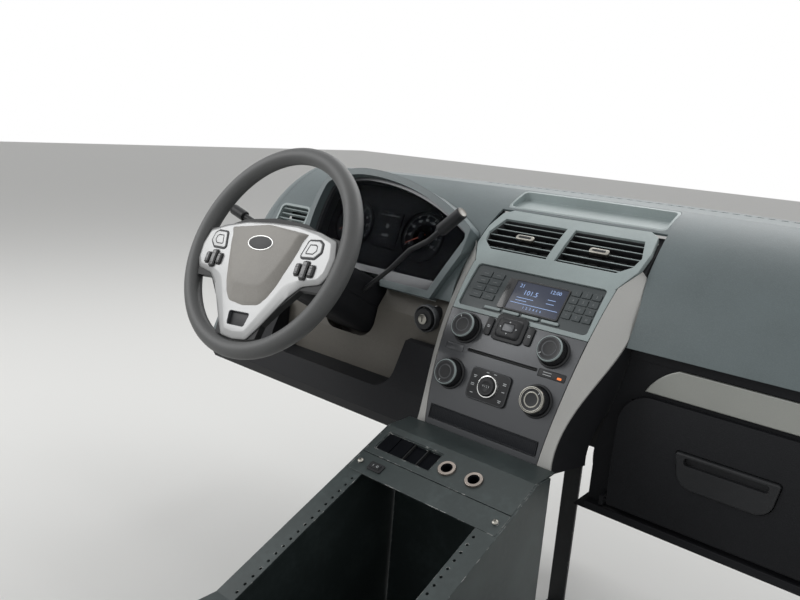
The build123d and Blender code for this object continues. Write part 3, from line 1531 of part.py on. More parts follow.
def console_top():
    fold, bend, end = slope_points()
    width = 2 * (console_half - sheet_t - seat)
    tip_deg = math.degrees(math.asin((console_front_z - sheet_t - stack_cz) / stack_r))
    tip_y = arc_point(tip_deg)[0] - seat
    with BuildPart() as plate:
        with BuildSketch(Plane.YZ.offset(-width / 2)):
            with BuildLine():
                Polyline((tip_y, console_front_z), fold, (fold[0], fold[1] - sheet_t),
                         (tip_y, console_front_z - sheet_t), close=True)
            make_face()
        extrude(amount=width)
        with BuildSketch(console_plane(0, 0, -sheet_t)):
            with Locations((0, -(strip_at - reveal) / 2)):
                Rectangle(width, strip_at - reveal)
        extrude(amount=sheet_t)
        with BuildSketch(console_plane(0, 0, -sheet_t - 1)):
            with Locations(((blank_x0 + blank_x1) / 2, -(blank_at0 + blank_at1) / 2)):
                RectangleRounded(blank_x1 - blank_x0, blank_at1 - blank_at0, 3)
            with Locations(*[(x, -socket_at) for x in socket_x]):
                Circle(socket_r + seat)
        extrude(amount=sheet_t + 2, mode=Mode.SUBTRACT)
        for side in (-1, 1):
            with BuildSketch(Plane.YZ.offset(side * (width / 2 - sheet_t / 2) - sheet_t / 2)):
                with BuildLine():
                    y0 = fold[0] + 10
                    Polyline((y0, fold[1] - 4), (y0, fold[1] - 34), (fold[0] - 40, fold[1] - 52),
                             (fold[0] - 40, fold[1] - 20), close=True)
                make_face()
            extrude(amount=sheet_t)
    write(plate.part, "console_plate")
    with BuildPart() as blank:
        x = (blank_x0 + blank_x1) / 2
        at = (blank_at0 + blank_at1) / 2
        with BuildSketch(console_plane(x, at, -6)):
            RectangleRounded(blank_x1 - blank_x0 - 2 * seat, blank_at1 - blank_at0 - 2 * seat, 3)
        extrude(amount=4.5)
        with BuildSketch(console_plane(x, at, -2)):
            with GridLocations(blank_pitch, 1, 4, 1):
                RectangleRounded(blank_pitch - 2, blank_at1 - blank_at0 - 6, 2)
        extrude(amount=2.5)
    write(blank.part, "switch_blank")
    with BuildPart() as sockets:
        for x in socket_x:
            with BuildSketch(console_plane(x, socket_at, -36)):
                Circle(socket_r)
            extrude(amount=36 + seat)
            with BuildSketch(console_plane(x, socket_at, seat / 2)):
                Circle(socket_r + 3.5)
            extrude(amount=3, taper=15)
            with BuildSketch(console_plane(x, socket_at, -30)):
                Circle(socket_r - 1.6)
            extrude(amount=40, mode=Mode.SUBTRACT)
    write(sockets.part, "power_sockets")
    with BuildPart() as strip_plate:
        with BuildSketch(console_plane(0, 0, -sheet_t)):
            with Locations((0, -(strip_at + bay_at) / 2)):
                Rectangle(width, bay_at - strip_at - reveal)
                with Locations((switch_at_x, 0)):
                    Rectangle(22, 13, mode=Mode.SUBTRACT)
        extrude(amount=sheet_t)
        for x in (-width / 2 + 12, width / 2 - 12):
            with BuildSketch(console_plane(x, (strip_at + bay_at) / 2, -sheet_t)):
                Circle(4.5)
            extrude(amount=sheet_t + 2)
    write(strip_plate.part, "console_face")
    with BuildPart() as rocker:
        with BuildSketch(console_plane(switch_at_x, (strip_at + bay_at) / 2, -18)):
            Rectangle(22 - 2 * seat, 13 - 2 * seat)
        extrude(amount=18.2)
        with BuildSketch(console_plane(switch_at_x, (strip_at + bay_at) / 2, 0.1)):
            RectangleRounded(26, 16, 2)
        extrude(amount=2)
        with BuildSketch(console_plane(switch_at_x, (strip_at + bay_at) / 2, 2)):
            Rectangle(18, 10)
        extrude(amount=2.5, taper=20)
    write(rocker.part, "rocker_switch")
    with BuildPart() as tail_plate:
        t = sheet_t
        foot = floor_z + t + seat
        with BuildSketch(Plane.YZ.offset(seat - rail_inner)):
            with BuildLine():
                Polyline((end[0], foot), end, (end[0] + rear_ledge, end[1]),
                         (end[0] + rear_ledge, end[1] - t), (end[0] + t, end[1] - t), (end[0] + t, foot),
                         close=True)
            make_face()
        extrude(amount=2 * (rail_inner - seat))
        with BuildSketch(Plane.XZ.offset(-end[0])):
            with Locations((0, (end[1] + floor_z) / 2)):
                Rectangle(width, end[1] - floor_z - 2 * (t + seat))
        extrude(amount=-t)
    write(tail_plate.part, "console_rear")
    with BuildPart() as bearer:
        with BuildSketch(Plane.XZ.offset(-fold[0] - bulkhead_ahead)):
            with Locations((0, (floor_z + sheet_t + fold[1] - sheet_t) / 2)):
                Rectangle(width - 4, fold[1] - floor_z - 2 * sheet_t - 2 * seat)
        extrude(amount=-sheet_t)
        with BuildSketch(Plane.XY.offset(floor_z + sheet_t + seat)):
            with Locations((0, fold[0] + bulkhead_ahead + sheet_t - bulkhead_foot / 2)):
                Rectangle(width - 4, bulkhead_foot)
        extrude(amount=sheet_t)
        for y in (fold[0] - 120, bend[0] - 40, end[0] + 120):
            with BuildSketch(Plane.XY.offset(floor_z + sheet_t + seat)):
                with Locations((0, y)):
                    Rectangle(width, 60)
            extrude(amount=sheet_t)
        with BuildSketch(Plane.XY.offset(floor_z + 2 * sheet_t + seat)):
            with Locations((0, (fold[0] + end[0]) / 2)):
                Rectangle(width - 60, 500)
        extrude(amount=sheet_t)
    write(bearer.part, "console_floor")


if __name__ == "__main__":
    os.makedirs("parts", exist_ok=True)
    for make in (beam, braces, heater, pad, tray, grille, hood, gauges, side_vents, stack_frame, trims,
                 control_panel, mat, radio, vents, stack_controls, column_panel, knee_panel, lock,
                 passenger_carrier, strip, glovebox, end_caps, column, levers, wheel_parts, console,
                 console_top):
        make()
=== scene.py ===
import json
from math import cos, pi, radians, sin, tan, tau
import bmesh
import bpy
from mathutils import Matrix, Vector

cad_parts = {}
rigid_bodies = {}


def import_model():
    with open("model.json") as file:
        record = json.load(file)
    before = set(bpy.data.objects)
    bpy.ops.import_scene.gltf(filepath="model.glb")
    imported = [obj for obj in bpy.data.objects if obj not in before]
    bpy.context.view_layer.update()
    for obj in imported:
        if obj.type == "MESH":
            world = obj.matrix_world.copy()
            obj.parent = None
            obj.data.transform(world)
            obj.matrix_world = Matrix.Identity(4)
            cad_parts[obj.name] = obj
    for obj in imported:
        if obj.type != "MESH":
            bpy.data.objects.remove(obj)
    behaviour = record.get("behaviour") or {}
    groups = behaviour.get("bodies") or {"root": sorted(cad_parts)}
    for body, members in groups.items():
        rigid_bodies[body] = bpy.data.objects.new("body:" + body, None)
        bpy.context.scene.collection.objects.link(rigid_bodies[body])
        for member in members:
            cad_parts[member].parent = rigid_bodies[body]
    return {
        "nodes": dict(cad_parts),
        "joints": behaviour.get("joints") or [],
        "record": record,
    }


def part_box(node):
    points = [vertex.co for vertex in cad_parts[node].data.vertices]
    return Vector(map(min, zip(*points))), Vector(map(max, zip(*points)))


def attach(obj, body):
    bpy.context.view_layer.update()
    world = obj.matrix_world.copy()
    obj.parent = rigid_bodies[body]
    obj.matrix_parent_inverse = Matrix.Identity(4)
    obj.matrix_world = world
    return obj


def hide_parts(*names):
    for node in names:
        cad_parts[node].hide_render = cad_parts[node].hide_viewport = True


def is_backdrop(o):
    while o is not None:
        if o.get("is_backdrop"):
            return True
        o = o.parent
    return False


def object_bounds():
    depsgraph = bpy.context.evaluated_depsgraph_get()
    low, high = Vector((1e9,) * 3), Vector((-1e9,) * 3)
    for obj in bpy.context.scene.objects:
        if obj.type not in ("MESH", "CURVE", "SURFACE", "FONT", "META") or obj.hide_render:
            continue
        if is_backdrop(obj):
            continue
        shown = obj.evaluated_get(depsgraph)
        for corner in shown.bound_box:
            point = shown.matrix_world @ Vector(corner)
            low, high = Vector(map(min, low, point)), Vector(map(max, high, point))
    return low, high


# %% [markdown]
# A cockpit has three kinds of surface: moulded plastic with a fine pebble grain, painted or
# plated trim, and folded steel on the equipment console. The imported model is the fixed
# frame. It is loaded once, and its reach is measured before anything is dressed, so that
# the last cell can show that the dressed object takes the same room.

# %% Load the frame
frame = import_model()
reach_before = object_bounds()
nodes = frame["nodes"]


# %% [markdown]
# Colours are easiest to read off as display values from 0 to 255, but a shader works in
# linear light. One small function does the change in one place, and another makes the
# darker and paler shades that every finish needs.

# %% Colour values
def tone(r, g, b):
    """Linear colour from display values."""
    def straight(v):
        v = v / 255
        return v / 12.92 if v <= 0.04045 else ((v + 0.055) / 1.055) ** 2.4
    return (straight(r), straight(g), straight(b), 1.0)


def scaled(colour, share, lift=0.0):
    """The colour made darker or paler."""
    return tuple(min(1.0, v * share + lift) for v in colour[:3]) + (1.0,)


print("display value 128 in linear light", round(tone(128, 128, 128)[0], 3))


# %% [markdown]
# A finish is a network of nodes, and so is a Geometry Nodes recipe. Long networks are hard
# to read when every sum is a node, so the class below wraps a socket: `grain * 0.4 + dust`
# then adds the Math nodes by itself, also when the number comes first. Colours never go
# through Math, which would turn them grey. They go through Mix.

# %% Sums on sockets
class Wire:
    """One output of a node, ready for sums."""
    def __init__(self, network, socket):
        self.network = network
        self.socket = socket

    def __add__(self, other):
        return self.network.maths("ADD", self, other)

    __radd__ = __add__

    def __sub__(self, other):
        return self.network.maths("SUBTRACT", self, other)

    def __rsub__(self, other):
        return self.network.maths("SUBTRACT", other, self)

    def __mul__(self, other):
        return self.network.maths("MULTIPLY", self, other)

    def __truediv__(self, other):
        return self.network.maths("DIVIDE", self, other)

    def within(self, low, high):
        """0 below low, 1 above high, smooth between."""
        return self.network.node("ShaderNodeMapRange", {"interpolation_type": "SMOOTHSTEP"},
                                 {"Value": self, "From Min": low, "From Max": high})


class Network:
    """A tree of nodes that is built call by call."""
    def __init__(self, tree):
        self.tree = tree

    def node(self, kind, settings, inputs, out=0):
        """A node of this kind, its settings made first, then its sockets set or linked."""
        made = self.tree.nodes.new(kind)
        for key, value in settings.items():
            setattr(made, key, value)
        for key, value in inputs.items():
            if isinstance(value, Wire):
                self.tree.links.new(value.socket, made.inputs[key])
            else:
                made.inputs[key].default_value = value
        return Wire(self, made.outputs[out])

    def maths(self, operation, first, second):
        return self.node("ShaderNodeMath", {"operation": operation}, {0: first, 1: second})


# %% [markdown]
# A finish starts from Blender's own Principled shader. Its patterns read Object
# coordinates, so they keep their real size on every piece. The Bevel node bends the normal
# over every hard edge, as a moulder's radius does, without a change to the mesh, and where
# it bends is also where hands and tools rub, so the same node gives a mask for the wear.

# %% A finish while it is mixed
finish = {}
EDGE_STARTS, EDGE_FULL = 0.01, 0.14  # turn of the normal on an edge, as 1 less its cosine


class Paint(Network):
    """A new finish: its material, its shader and the calls that add to them."""
    def __init__(self, name, **fixed):
        finish[name] = bpy.data.materials.new(name)
        finish[name].use_nodes = True
        super().__init__(finish[name].node_tree)
        self.shader = self.tree.nodes["Principled BSDF"]
        self.place = self.node("ShaderNodeTexCoord", {}, {}, "Object")
        for socket, value in fixed.items():
            self.shader.inputs[socket.replace("_", " ")].default_value = value

    def cloud(self, scale, detail=3.0):
        """Soft noise from 0 to 1, its features 1 / scale metres wide."""
        return self.node("ShaderNodeTexNoise", {}, {"Vector": self.place, "Scale": scale, "Detail": detail},
                         "Fac")

    def brushing(self, scale, detail):
        """Noise drawn out into long fine lines, upright on the object."""
        drawn = self.node("ShaderNodeMapping", {}, {"Vector": self.place, "Scale": (1.0, 1.0, 0.1)})
        return self.node("ShaderNodeTexNoise", {}, {"Vector": drawn, "Scale": scale, "Detail": detail}, "Fac")

    def pebbles(self, scale):
        """Distance to the middle of the nearest cell, the base of a moulded grain."""
        return self.node("ShaderNodeTexVoronoi", {"feature": "F1"}, {"Vector": self.place, "Scale": scale},
                         "Distance")

    def rounded(self, radius):
        """The normal bent over the hard edges, and 1 on those edges."""
        bent = self.node("ShaderNodeBevel", {"samples": 6}, {"Radius": radius})
        face = self.node("ShaderNodeNewGeometry", {}, {}, "Normal")
        along = self.node("ShaderNodeVectorMath", {"operation": "DOT_PRODUCT"}, {0: bent, 1: face}, "Value")
        return bent, (1 - along).within(EDGE_STARTS, EDGE_FULL)

    def mix(self, factor, one, two):
        """Colour between two others; 6, 7 and output 2 are the node's colour sockets."""
        return self.node("ShaderNodeMix", {"data_type": "RGBA"}, {0: factor, 6: one, 7: two}, 2)

    def feed(self, socket, wire):
        self.tree.links.new(wire.socket, self.shader.inputs[socket])

    def relief(self, height, depth, strength, normal):
        """Bump on the rounded normal, its full height depth metres."""
        self.feed("Normal", self.node("ShaderNodeBump", {}, {
            "Height": height, "Distance": depth, "Strength": strength, "Normal": normal}))


# %% [markdown]
# Moulded plastic is the main finish. On the real dash the mould is etched, so every square
# centimetre carries hundreds of small pebbles, and hands polish the edges a little. An
# image could show that, but it would repeat and would need a map. Voronoi cells pushed
# into a Bump node don't. A wide cloud moves the colour and the gloss a few per cent, and
# the worn edges are paler and smoother.

# %% Moulded plastic
def moulded(name, colour, gloss, cell=0.0016, depth=0.00012, worn=1.35, sheen=0.3, radius=0.0012):
    """Grained plastic: the size and depth of a pebble and the edge radius are in metres."""
    paint = Paint(name, Specular_IOR_Level=sheen)
    pebble = paint.pebbles(1 / cell)
    drift = paint.cloud(9.0, 4.0)
    dust = paint.cloud(160.0, 2.0)
    bent, edge = paint.rounded(radius)
    base = tone(*colour)
    pale = scaled(base, worn, 0.004)
    body = paint.mix(drift.within(0.3, 0.7), scaled(base, 0.82), base)
    body = paint.mix((pebble * 0.5 + dust * 0.3).within(0.15, 0.75) * 0.35, body, pale)
    paint.feed("Base Color", paint.mix((edge * dust).within(0.2, 0.7) * 0.7, body, pale))
    paint.feed("Roughness", gloss + (drift - 0.5) * 0.12 - edge * 0.08)
    paint.relief(pebble, depth, 0.8, bent)


moulded("dash_grain", (96, 107, 109), 0.44, sheen=0.5)
moulded("lower_grain", (24, 25, 28), 0.58, cell=0.0018, depth=0.00014, sheen=0.22)
moulded("bezel_grey", (156, 168, 168), 0.42, cell=0.0009, depth=0.00005, worn=1.25, sheen=0.45)
moulded("knob_black", (38, 39, 41), 0.42, cell=0.0007, depth=0.00004, worn=1.6, radius=0.0007)
moulded("rim_black", (86, 87, 87), 0.5, cell=0.0012, depth=0.00009, worn=1.4, sheen=0.45)
moulded("cover_grey", (158, 155, 150), 0.5, cell=0.0011, depth=0.00008, worn=1.25)
moulded("mat_rubber", (35, 37, 41), 0.62, cell=0.0008, depth=0.00004, worn=1.15, sheen=0.2, radius=0.0009)
moulded("case_black", (30, 31, 32), 0.5, depth=0.0001)
moulded("dial_black", (13, 15, 19), 0.5, cell=0.0007, depth=0.00003, worn=1.2, sheen=0.03)
moulded("warm_grey", (104, 101, 95), 0.5, cell=0.0014, depth=0.00009)
print("moulded", len(finish))


# %% [markdown]
# Painted trim is smooth. Silver paint holds fine metal flakes, which show as sparkle of
# less than a millimetre, and its edges rub through to a duller tone. Most of the gloss
# comes from the clear coat.

# %% Painted trim
def painted(name, colour, gloss, coat, metal=0.0, flake=0.06, worn=0.75):
    paint = Paint(name, Metallic=metal, Coat_Roughness=0.12)
    grains = paint.cloud(2600.0, 1.0)
    drift = paint.cloud(7.0, 3.0)
    bent, edge = paint.rounded(0.0008)
    base = tone(*colour)
    body = paint.mix((grains * 0.6 + drift * 0.4).within(0.35, 0.65), scaled(base, 1 - flake),
                     scaled(base, 1 + flake))
    rubbed = (edge * paint.cloud(60.0)).within(0.4, 0.8)
    paint.feed("Base Color", paint.mix(rubbed, body, scaled(base, worn)))
    paint.feed("Roughness", gloss + (drift - 0.5) * 0.1 + (grains - 0.5) * 0.06)
    paint.feed("Coat Weight", coat - edge * 0.2)
    paint.relief(paint.cloud(420.0, 2.0), 0.00002, 0.6, bent)


painted("panel_dark", (70, 72, 75), 0.33, 0.2, metal=0.3, flake=0.08)
painted("satin_silver", (186, 186, 183), 0.36, 0.12, metal=0.12, worn=0.85)
painted("screen_navy", (34, 44, 68), 0.34, 0.1, flake=0.08)
painted("radio_face", (52, 60, 62), 0.36, 0.15, metal=0.1, flake=0.07)
# painted shade: a darker copy of the silver paint, for the trim strip that lies in shade
painted("strip_satin", (166, 168, 163), 0.36, 0.2, metal=0.4, worn=0.85)
painted("spoke_silver", (172, 173, 173), 0.36, 0.1, metal=0.3, worn=0.85)
painted("lever_face", (126, 122, 114), 0.35, 0.2, metal=0.1)
painted("gloss_black", (19, 20, 22), 0.26, 0.3, flake=0.1)
print("with painted trim", len(finish))


# %% [markdown]
# The console is folded steel with a dark powder coat. Powder melts into a dense orange
# peel, and where tools rub it the bare steel shows on the edges. Screws, rings and the
# lock are bare metal, drawn or turned, with a faint brushing and a stain or two.

# %% Powder coat and bare steel
def powder(name, colour, gloss, chip=0.62):
    """Powder coat; the lower the chip, the more bare steel on the edges."""
    paint = Paint(name, Specular_IOR_Level=0.4)
    drift = paint.cloud(14.0, 4.0)
    scuff = paint.cloud(110.0, 5.0)
    bent, edge = paint.rounded(0.0016)
    bare = (edge * scuff).within(chip - 0.12, chip)
    base = tone(*colour)
    body = paint.mix((drift * 0.6 + scuff * 0.4).within(0.42, 0.72) * 0.6, base, scaled(base, 1.9, 0.004))
    paint.feed("Base Color", paint.mix(bare, body, tone(168, 168, 166)))
    paint.feed("Metallic", bare)
    paint.feed("Roughness", gloss + (scuff - 0.5) * 0.25 - bare * 0.15)
    paint.relief(paint.pebbles(900.0), 0.00008, 0.7, bent)


def steel(name, colour, gloss, stain=0.25, radius=0.0006):
    paint = Paint(name, Metallic=1.0)
    brushed = paint.brushing(500.0, 2.0)
    drift = paint.cloud(22.0, 4.0)
    bent, edge = paint.rounded(radius)
    base = tone(*colour)
    body = paint.mix(drift.within(0.35, 0.7), scaled(base, 1 - stain), base)
    paint.feed("Base Color", paint.mix(edge * 0.5, body, scaled(base, 1.2)))
    paint.feed("Roughness", gloss + (drift - 0.5) * 0.2 + (brushed - 0.5) * 0.15)
    paint.relief(brushed, 0.00002, 0.5, bent)


powder("console_paint", (52, 60, 60), 0.42)
powder("beam_paint", (36, 37, 38), 0.5, chip=0.7)
steel("zinc_steel", (168, 166, 158), 0.34)
steel("socket_chrome", (176, 166, 158), 0.2, stain=0.3)
steel("chrome", (214, 214, 212), 0.14, stain=0.08, radius=0.0004)
print("with coated and bare steel", len(finish))


# %% [markdown]
# The lamps and the screen give off a little light, and the screen's numbers glow in a cool
# blue behind its dark glass. Printed marks are nearly matt and pale, and the faint glow
# that they are given is painted light, for print is no lamp. The lens over the gauges is
# clear moulded plastic: it lets light through, has a faint smoke tint and picks up fine dust.

# %% Marks, lamps and the clear lens
def glowing(name, colour, strength):
    paint = Paint(name, Emission_Strength=strength, Roughness=0.5)
    wave = paint.cloud(900.0, 2.0)
    base = tone(*colour)
    paint.feed("Base Color", paint.mix(wave, scaled(base, 0.7), base))
    paint.feed("Emission Color", paint.mix(wave, scaled(base, 0.8), base))


# painted light: printed marks are given a faint glow, though they are no lamps
glowing("mark", (196, 200, 202), 0.12)
glowing("screen_light", (150, 176, 222), 0.55)
glowing("amber", (232, 120, 48), 0.9)
glowing("dial_print", (118, 121, 123), 0.0)
# painted light: the needles are given a faint glow of their own, though they are no lamps
glowing("needle_red", (150, 66, 42), 0.05)

lens = Paint("lens", Transmission_Weight=1.0, IOR=1.03)
dust = lens.cloud(300.0, 3.0)
lens.feed("Base Color", lens.mix(dust.within(0.5, 0.9) * 0.3, tone(225, 228, 230), tone(180, 184, 186)))
lens.feed("Roughness", 0.04 + dust.within(0.55, 0.9) * 0.12)
print("all finishes", len(finish))

# %% [markdown]
# The record names a slot for every node, and each slot is one finish. Five nodes look a
# little different from the rest of their slot, so they are listed here with their own.

# %% Dress the model's nodes
# painted shade: the trim strip's own finish is the silver paint made darker
OWN_FINISH = {"radio_panel": "radio_face", "ignition_lock": "knob_black", "trim_strip": "strip_satin",
              "instrument_cluster": "dial_black", "column_panel": "warm_grey"}
slot_of = {row["node"]: row["material_slot"] for row in frame["record"]["subparts"]}
for name, node in nodes.items():
    node.data.materials.clear()
    node.data.materials.append(finish[OWN_FINISH.get(name, slot_of[name])])
print("nodes with a finish", len(nodes))


# %% [markdown]
# Every detailed piece is drawn flat, in millimetres, on the face that carries it: the
# plane of the wheel, the plane of the gauges, the console's slope or the arc of the centre
# stack. A place is a matrix that takes the flat drawing to metres on the car. The wheel's
# comes from its joint in the frame: the joint's point is the hub and its axis faces out.

# %% Flat places on the cockpit
MM = 0.001
ACROSS = Vector((1, 0, 0))
UP = Vector((0, 0, 1))
TO_REAR = Vector((0, -1, 0))
WHEEL_TURN = 5  # degrees, as it was left standing
GAUGES, GAUGES_LEAN, GAUGES_DEPTH = Vector((-377, -181, 130)), 20, 45.9
FOLD, SLOPE = Vector((0, -384, -175)), 24.8  # the console's fold and its slope
HAIR = 0.05  # lift of a piece off the face that carries it


def leaning(deg):
    """Direction towards the rear and up by an angle."""
    a = radians(deg)
    return Vector((0, -cos(a), sin(a)))


def flat_place(origin, across, out):
    """Place with x across and z out of the face."""
    z = Vector(out).normalized()
    x = Vector(across).normalized()
    turn = Matrix((x, z.cross(x), z)).transposed().to_4x4()
    return Matrix.Translation(Vector(origin) * MM) @ turn @ Matrix.Scale(MM, 4)


def on_console(x, down):
    """The console's slope, at a way down from its fold."""
    out = leaning(90 - SLOPE)
    return flat_place(FOLD + ACROSS * x + ACROSS.cross(out) * down, ACROSS, out)


steering = next(joint for joint in frame["joints"] if joint["name"] == "steering")
wheel_out = Vector(steering["axis"])
wheel_across = Matrix.Rotation(radians(WHEEL_TURN), 3, wheel_out) @ ACROSS
ON_WHEEL = flat_place(Vector(steering["pos_m"]) / MM, wheel_across, wheel_out)
ON_GAUGES = flat_place(GAUGES - leaning(GAUGES_LEAN) * GAUGES_DEPTH, ACROSS, leaning(GAUGES_LEAN))
print("wheel at", tuple(round(v, 3) for v in ON_WHEEL.translation))


# %% [markdown]
# The stack's face is part of a drum about a line across the car. A round knob stands on a
# flat place that touches the drum. A wide piece would stand off it at its ends, so its
# drawing is bent round the drum instead.

# %% The drum of the stack
STACK_R, STACK_Y, STACK_Z = 478, 136, -261
DRUM_LINE = Vector((0, STACK_Y, STACK_Z)) * MM


def stack_point(x, deg, along=0.0, lift=0.0):
    """Point of the face at x and an angle, then a way up the arc and off it."""
    a = radians(deg) + along / STACK_R
    r = STACK_R + lift
    return Vector((x, STACK_Y - r * cos(a), STACK_Z + r * sin(a)))


def on_stack(x, deg, lift=0.0):
    return flat_place(stack_point(x, deg, lift=lift), ACROSS, leaning(deg))


def bend(shape, x, deg):
    """Lay a flat drawing on the face, its middle at x and an angle."""
    for vertex in shape.verts:
        vertex.co = stack_point(x + vertex.co.x, deg, vertex.co.y, vertex.co.z) * MM
    return shape


def put(shape, place):
    shape.transform(place)
    return shape


print("height of the stack's face at 40 degrees", round(stack_point(0, 40).z), "mm")


# %% [markdown]
# Nearly all the small pieces are lofts: a list of closed loops with the same number of
# points, joined by quads. A plate is a loft whose last loops step inwards to round its
# rim, and a knob is a loft of circles. A band is a loft that comes back to its first loop,
# so it has no ends to fill.

# %% Lofts
WELD = 0.0005


def loft(loops, filled=True):
    """Closed loops joined by quads, with a face at each end where filled."""
    shape = bmesh.new()
    rows = [[shape.verts.new(point) for point in loop] for loop in loops]
    count = len(rows[0])
    for below, above in zip(rows, rows[1:]):
        for k in range(count):
            shape.faces.new((below[k], below[(k + 1) % count], above[(k + 1) % count], above[k]))
    if filled:
        shape.faces.new(list(reversed(rows[0])))
        shape.faces.new(rows[-1])
    return shape


def closed_loft(loops):
    """Loft that ends on its first loop."""
    shape = loft(loops + loops[:1], False)
    bmesh.ops.remove_doubles(shape, verts=shape.verts, dist=WELD)
    return shape


def stacked(layers):
    """Loops in space from pairs of a flat outline and its height."""
    return [[(x, y, z) for x, y in outline] for outline, z in layers]


def oval(half_w, half_h, count, x=0.0, y=0.0):
    return [(x + half_w * cos(tau * k / count), y + half_h * sin(tau * k / count))
            for k in range(count)]


def circles(profile, count, x=0.0):
    """Loops of a turned piece from its profile of radius and height."""
    return stacked([(oval(r, r, count, x), z) for r, z in profile])


def lathe(profile, count=64, x=0.0):
    return loft(circles(profile, count, x))


# %% [markdown]
# Moulded outlines have no sharp corners. Each corner is a short curve from one side to the
# next, and a plate's rim is a quarter circle made of loops that step inwards.

# %% Outlines, plates and bands
def corners(points, radius, steps=5):
    """Outline with its corners rounded; radius may be one number or one for each corner."""
    radii = radius if isinstance(radius, list) else [radius] * len(points)
    made = []
    for k, point in enumerate(points):
        here = Vector(point)
        before = Vector(points[k - 1]) - here
        after = Vector(points[(k + 1) % len(points)]) - here
        half = before.angle(after) / 2
        reach = min(radii[k] / tan(half), before.length * 0.49, after.length * 0.49)
        start = here + before.normalized() * reach
        end = here + after.normalized() * reach
        for n in range(steps + 1):
            t = n / steps
            made.append(tuple(start * (1 - t) ** 2 + here * 2 * t * (1 - t) + end * t ** 2))
    return made


def box_outline(w, h, radius, x=0.0, y=0.0):
    return corners([(x - w / 2, y - h / 2), (x + w / 2, y - h / 2), (x + w / 2, y + h / 2),
                    (x - w / 2, y + h / 2)], radius)


def moved_in(outline, way):
    """Outline with every point moved inwards, square to its neighbours."""
    made = []
    for k, point in enumerate(outline):
        along = Vector(outline[(k + 1) % len(outline)]) - Vector(outline[k - 1])
        inward = Vector((-along.y, along.x)).normalized()
        made.append((point[0] + inward.x * way, point[1] + inward.y * way))
    return made


def plate(outline, low, high, rim=0.5, steps=3):
    """Flat plate with a rounded upper rim."""
    layers = [(outline, low)]
    for n in range(steps + 1):
        a = pi / 2 * n / steps
        layers.append((moved_in(outline, rim * (1 - cos(a))), high - rim + rim * sin(a)))
    return loft(stacked(layers))


def tile(box, low, high, rim=0.5, steps=3):
    """Plate on a box: its width, height and corner radius, and its middle if not at 0, 0."""
    return plate(box_outline(*box), low, high, rim, steps)


def bar(w, h, x, y, low, high, corner=0.3, rim=0.05):
    """Thin plate for a printed dash, or for a slot whose shade is painted, with a single step at its rim."""
    return tile((w, h, corner, x, y), low, high, rim, 1)


def band(outline, width, low, high, rim=0.3):
    """Raised band along the inside of an outline."""
    inner = moved_in(outline, width)
    return closed_loft(stacked([
        (outline, low), (outline, high - rim), (moved_in(outline, rim), high),
        (moved_in(outline, width - rim), high), (inner, high - rim), (inner, low)]))


print("points round a box", len(box_outline(10, 10, 2)))


# %% [markdown]
# Modifiers and fonts work on objects, not on loose shapes. So a shape that needs one goes
# through a passing object, which is removed as soon as its mesh has been read back.

# %% Passing objects
def mesh_of(shape):
    """Mesh data from a shape, which is used up."""
    data = bpy.data.meshes.new("part")
    shape.to_mesh(data)
    shape.free()
    return data


def standing(name, data):
    """A new object in the scene, at the origin."""
    item = bpy.data.objects.new(name, data)
    bpy.context.scene.collection.objects.link(item)
    return item


def settled(item):
    """The plain shape that a passing object comes to."""
    seen = item.evaluated_get(bpy.context.evaluated_depsgraph_get())
    result = bpy.data.meshes.new_from_object(seen)
    shape = bmesh.new()
    shape.from_mesh(result)
    item.modifiers.clear()
    bpy.data.batch_remove((item, item.data, result))
    return shape


def joined(shapes):
    """One shape from several that share a finish."""
    whole = bmesh.new()
    for shape in shapes:
        data = mesh_of(shape)
        whole.from_mesh(data)
        bpy.data.meshes.remove(data)
    return whole


def cut(shape, tool):
    """Shape with the tool's room taken out of it."""
    for each in (shape, tool):
        bmesh.ops.recalc_face_normals(each, faces=each.faces)
    item, knife = standing("shape", mesh_of(shape)), standing("tool", mesh_of(tool))
    modifier = item.modifiers.new("cut", "BOOLEAN")
    modifier.object = knife
    modifier.solver = "EXACT"
    made = settled(item)
    bpy.data.batch_remove((knife, knife.data))
    return made


def figures(text, height, x=0.0, y=0.0, lift=0.0):
    """Line of numbers, centred at x and y, a tenth of a millimetre thick, like print."""
    curve = bpy.data.curves.new("figures", "FONT")
    curve.body = text
    curve.size = height * 1.4  # a font's size is more than its figures'
    curve.align_x = "CENTER"
    curve.align_y = "CENTER"
    curve.extrude = 0.05
    curve.resolution_u = 2
    shape = settled(standing("figures", curve))
    bmesh.ops.remove_doubles(shape, verts=shape.verts, dist=0.001)
    bmesh.ops.translate(shape, verts=shape.verts, vec=(x, y, lift))
    return shape


# %% [markdown]
# A finished piece is one object made of one or more shapes, each with its own finish. It
# rides on a body of the model, and where it stands for a node of the model it hides that
# node. The faces are turned outwards here, once for all pieces.

# %% Finished pieces
def piece(name, body, parts, replaces=(), crease=38, place=None):
    """Object from pairs of a shape and its finish, put in its place and settled on a body."""
    data = bpy.data.meshes.new(name)
    for index, (shape, kind) in enumerate(parts):
        if place is not None:
            put(shape, place)
        bmesh.ops.recalc_face_normals(shape, faces=shape.faces)
        for face in shape.faces:
            face.material_index = index
            face.smooth = True
        data.materials.append(finish[kind])
    whole = joined([shape for shape, _ in parts])
    whole.to_mesh(data)
    whole.free()
    data.set_sharp_from_angle(angle=radians(crease))
    item = standing(name, data)
    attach(item, body)
    if replaces:
        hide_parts(*replaces)
    print(name, len(data.polygons), "faces")


# %% [markdown]
# What follows a rule is made by Geometry Nodes. A recipe is such a tree with named inputs
# for its sizes. It ends by making its copies real and giving them a finish, and running
# it gives back a plain shape, so it can be bent, placed and joined like any other.

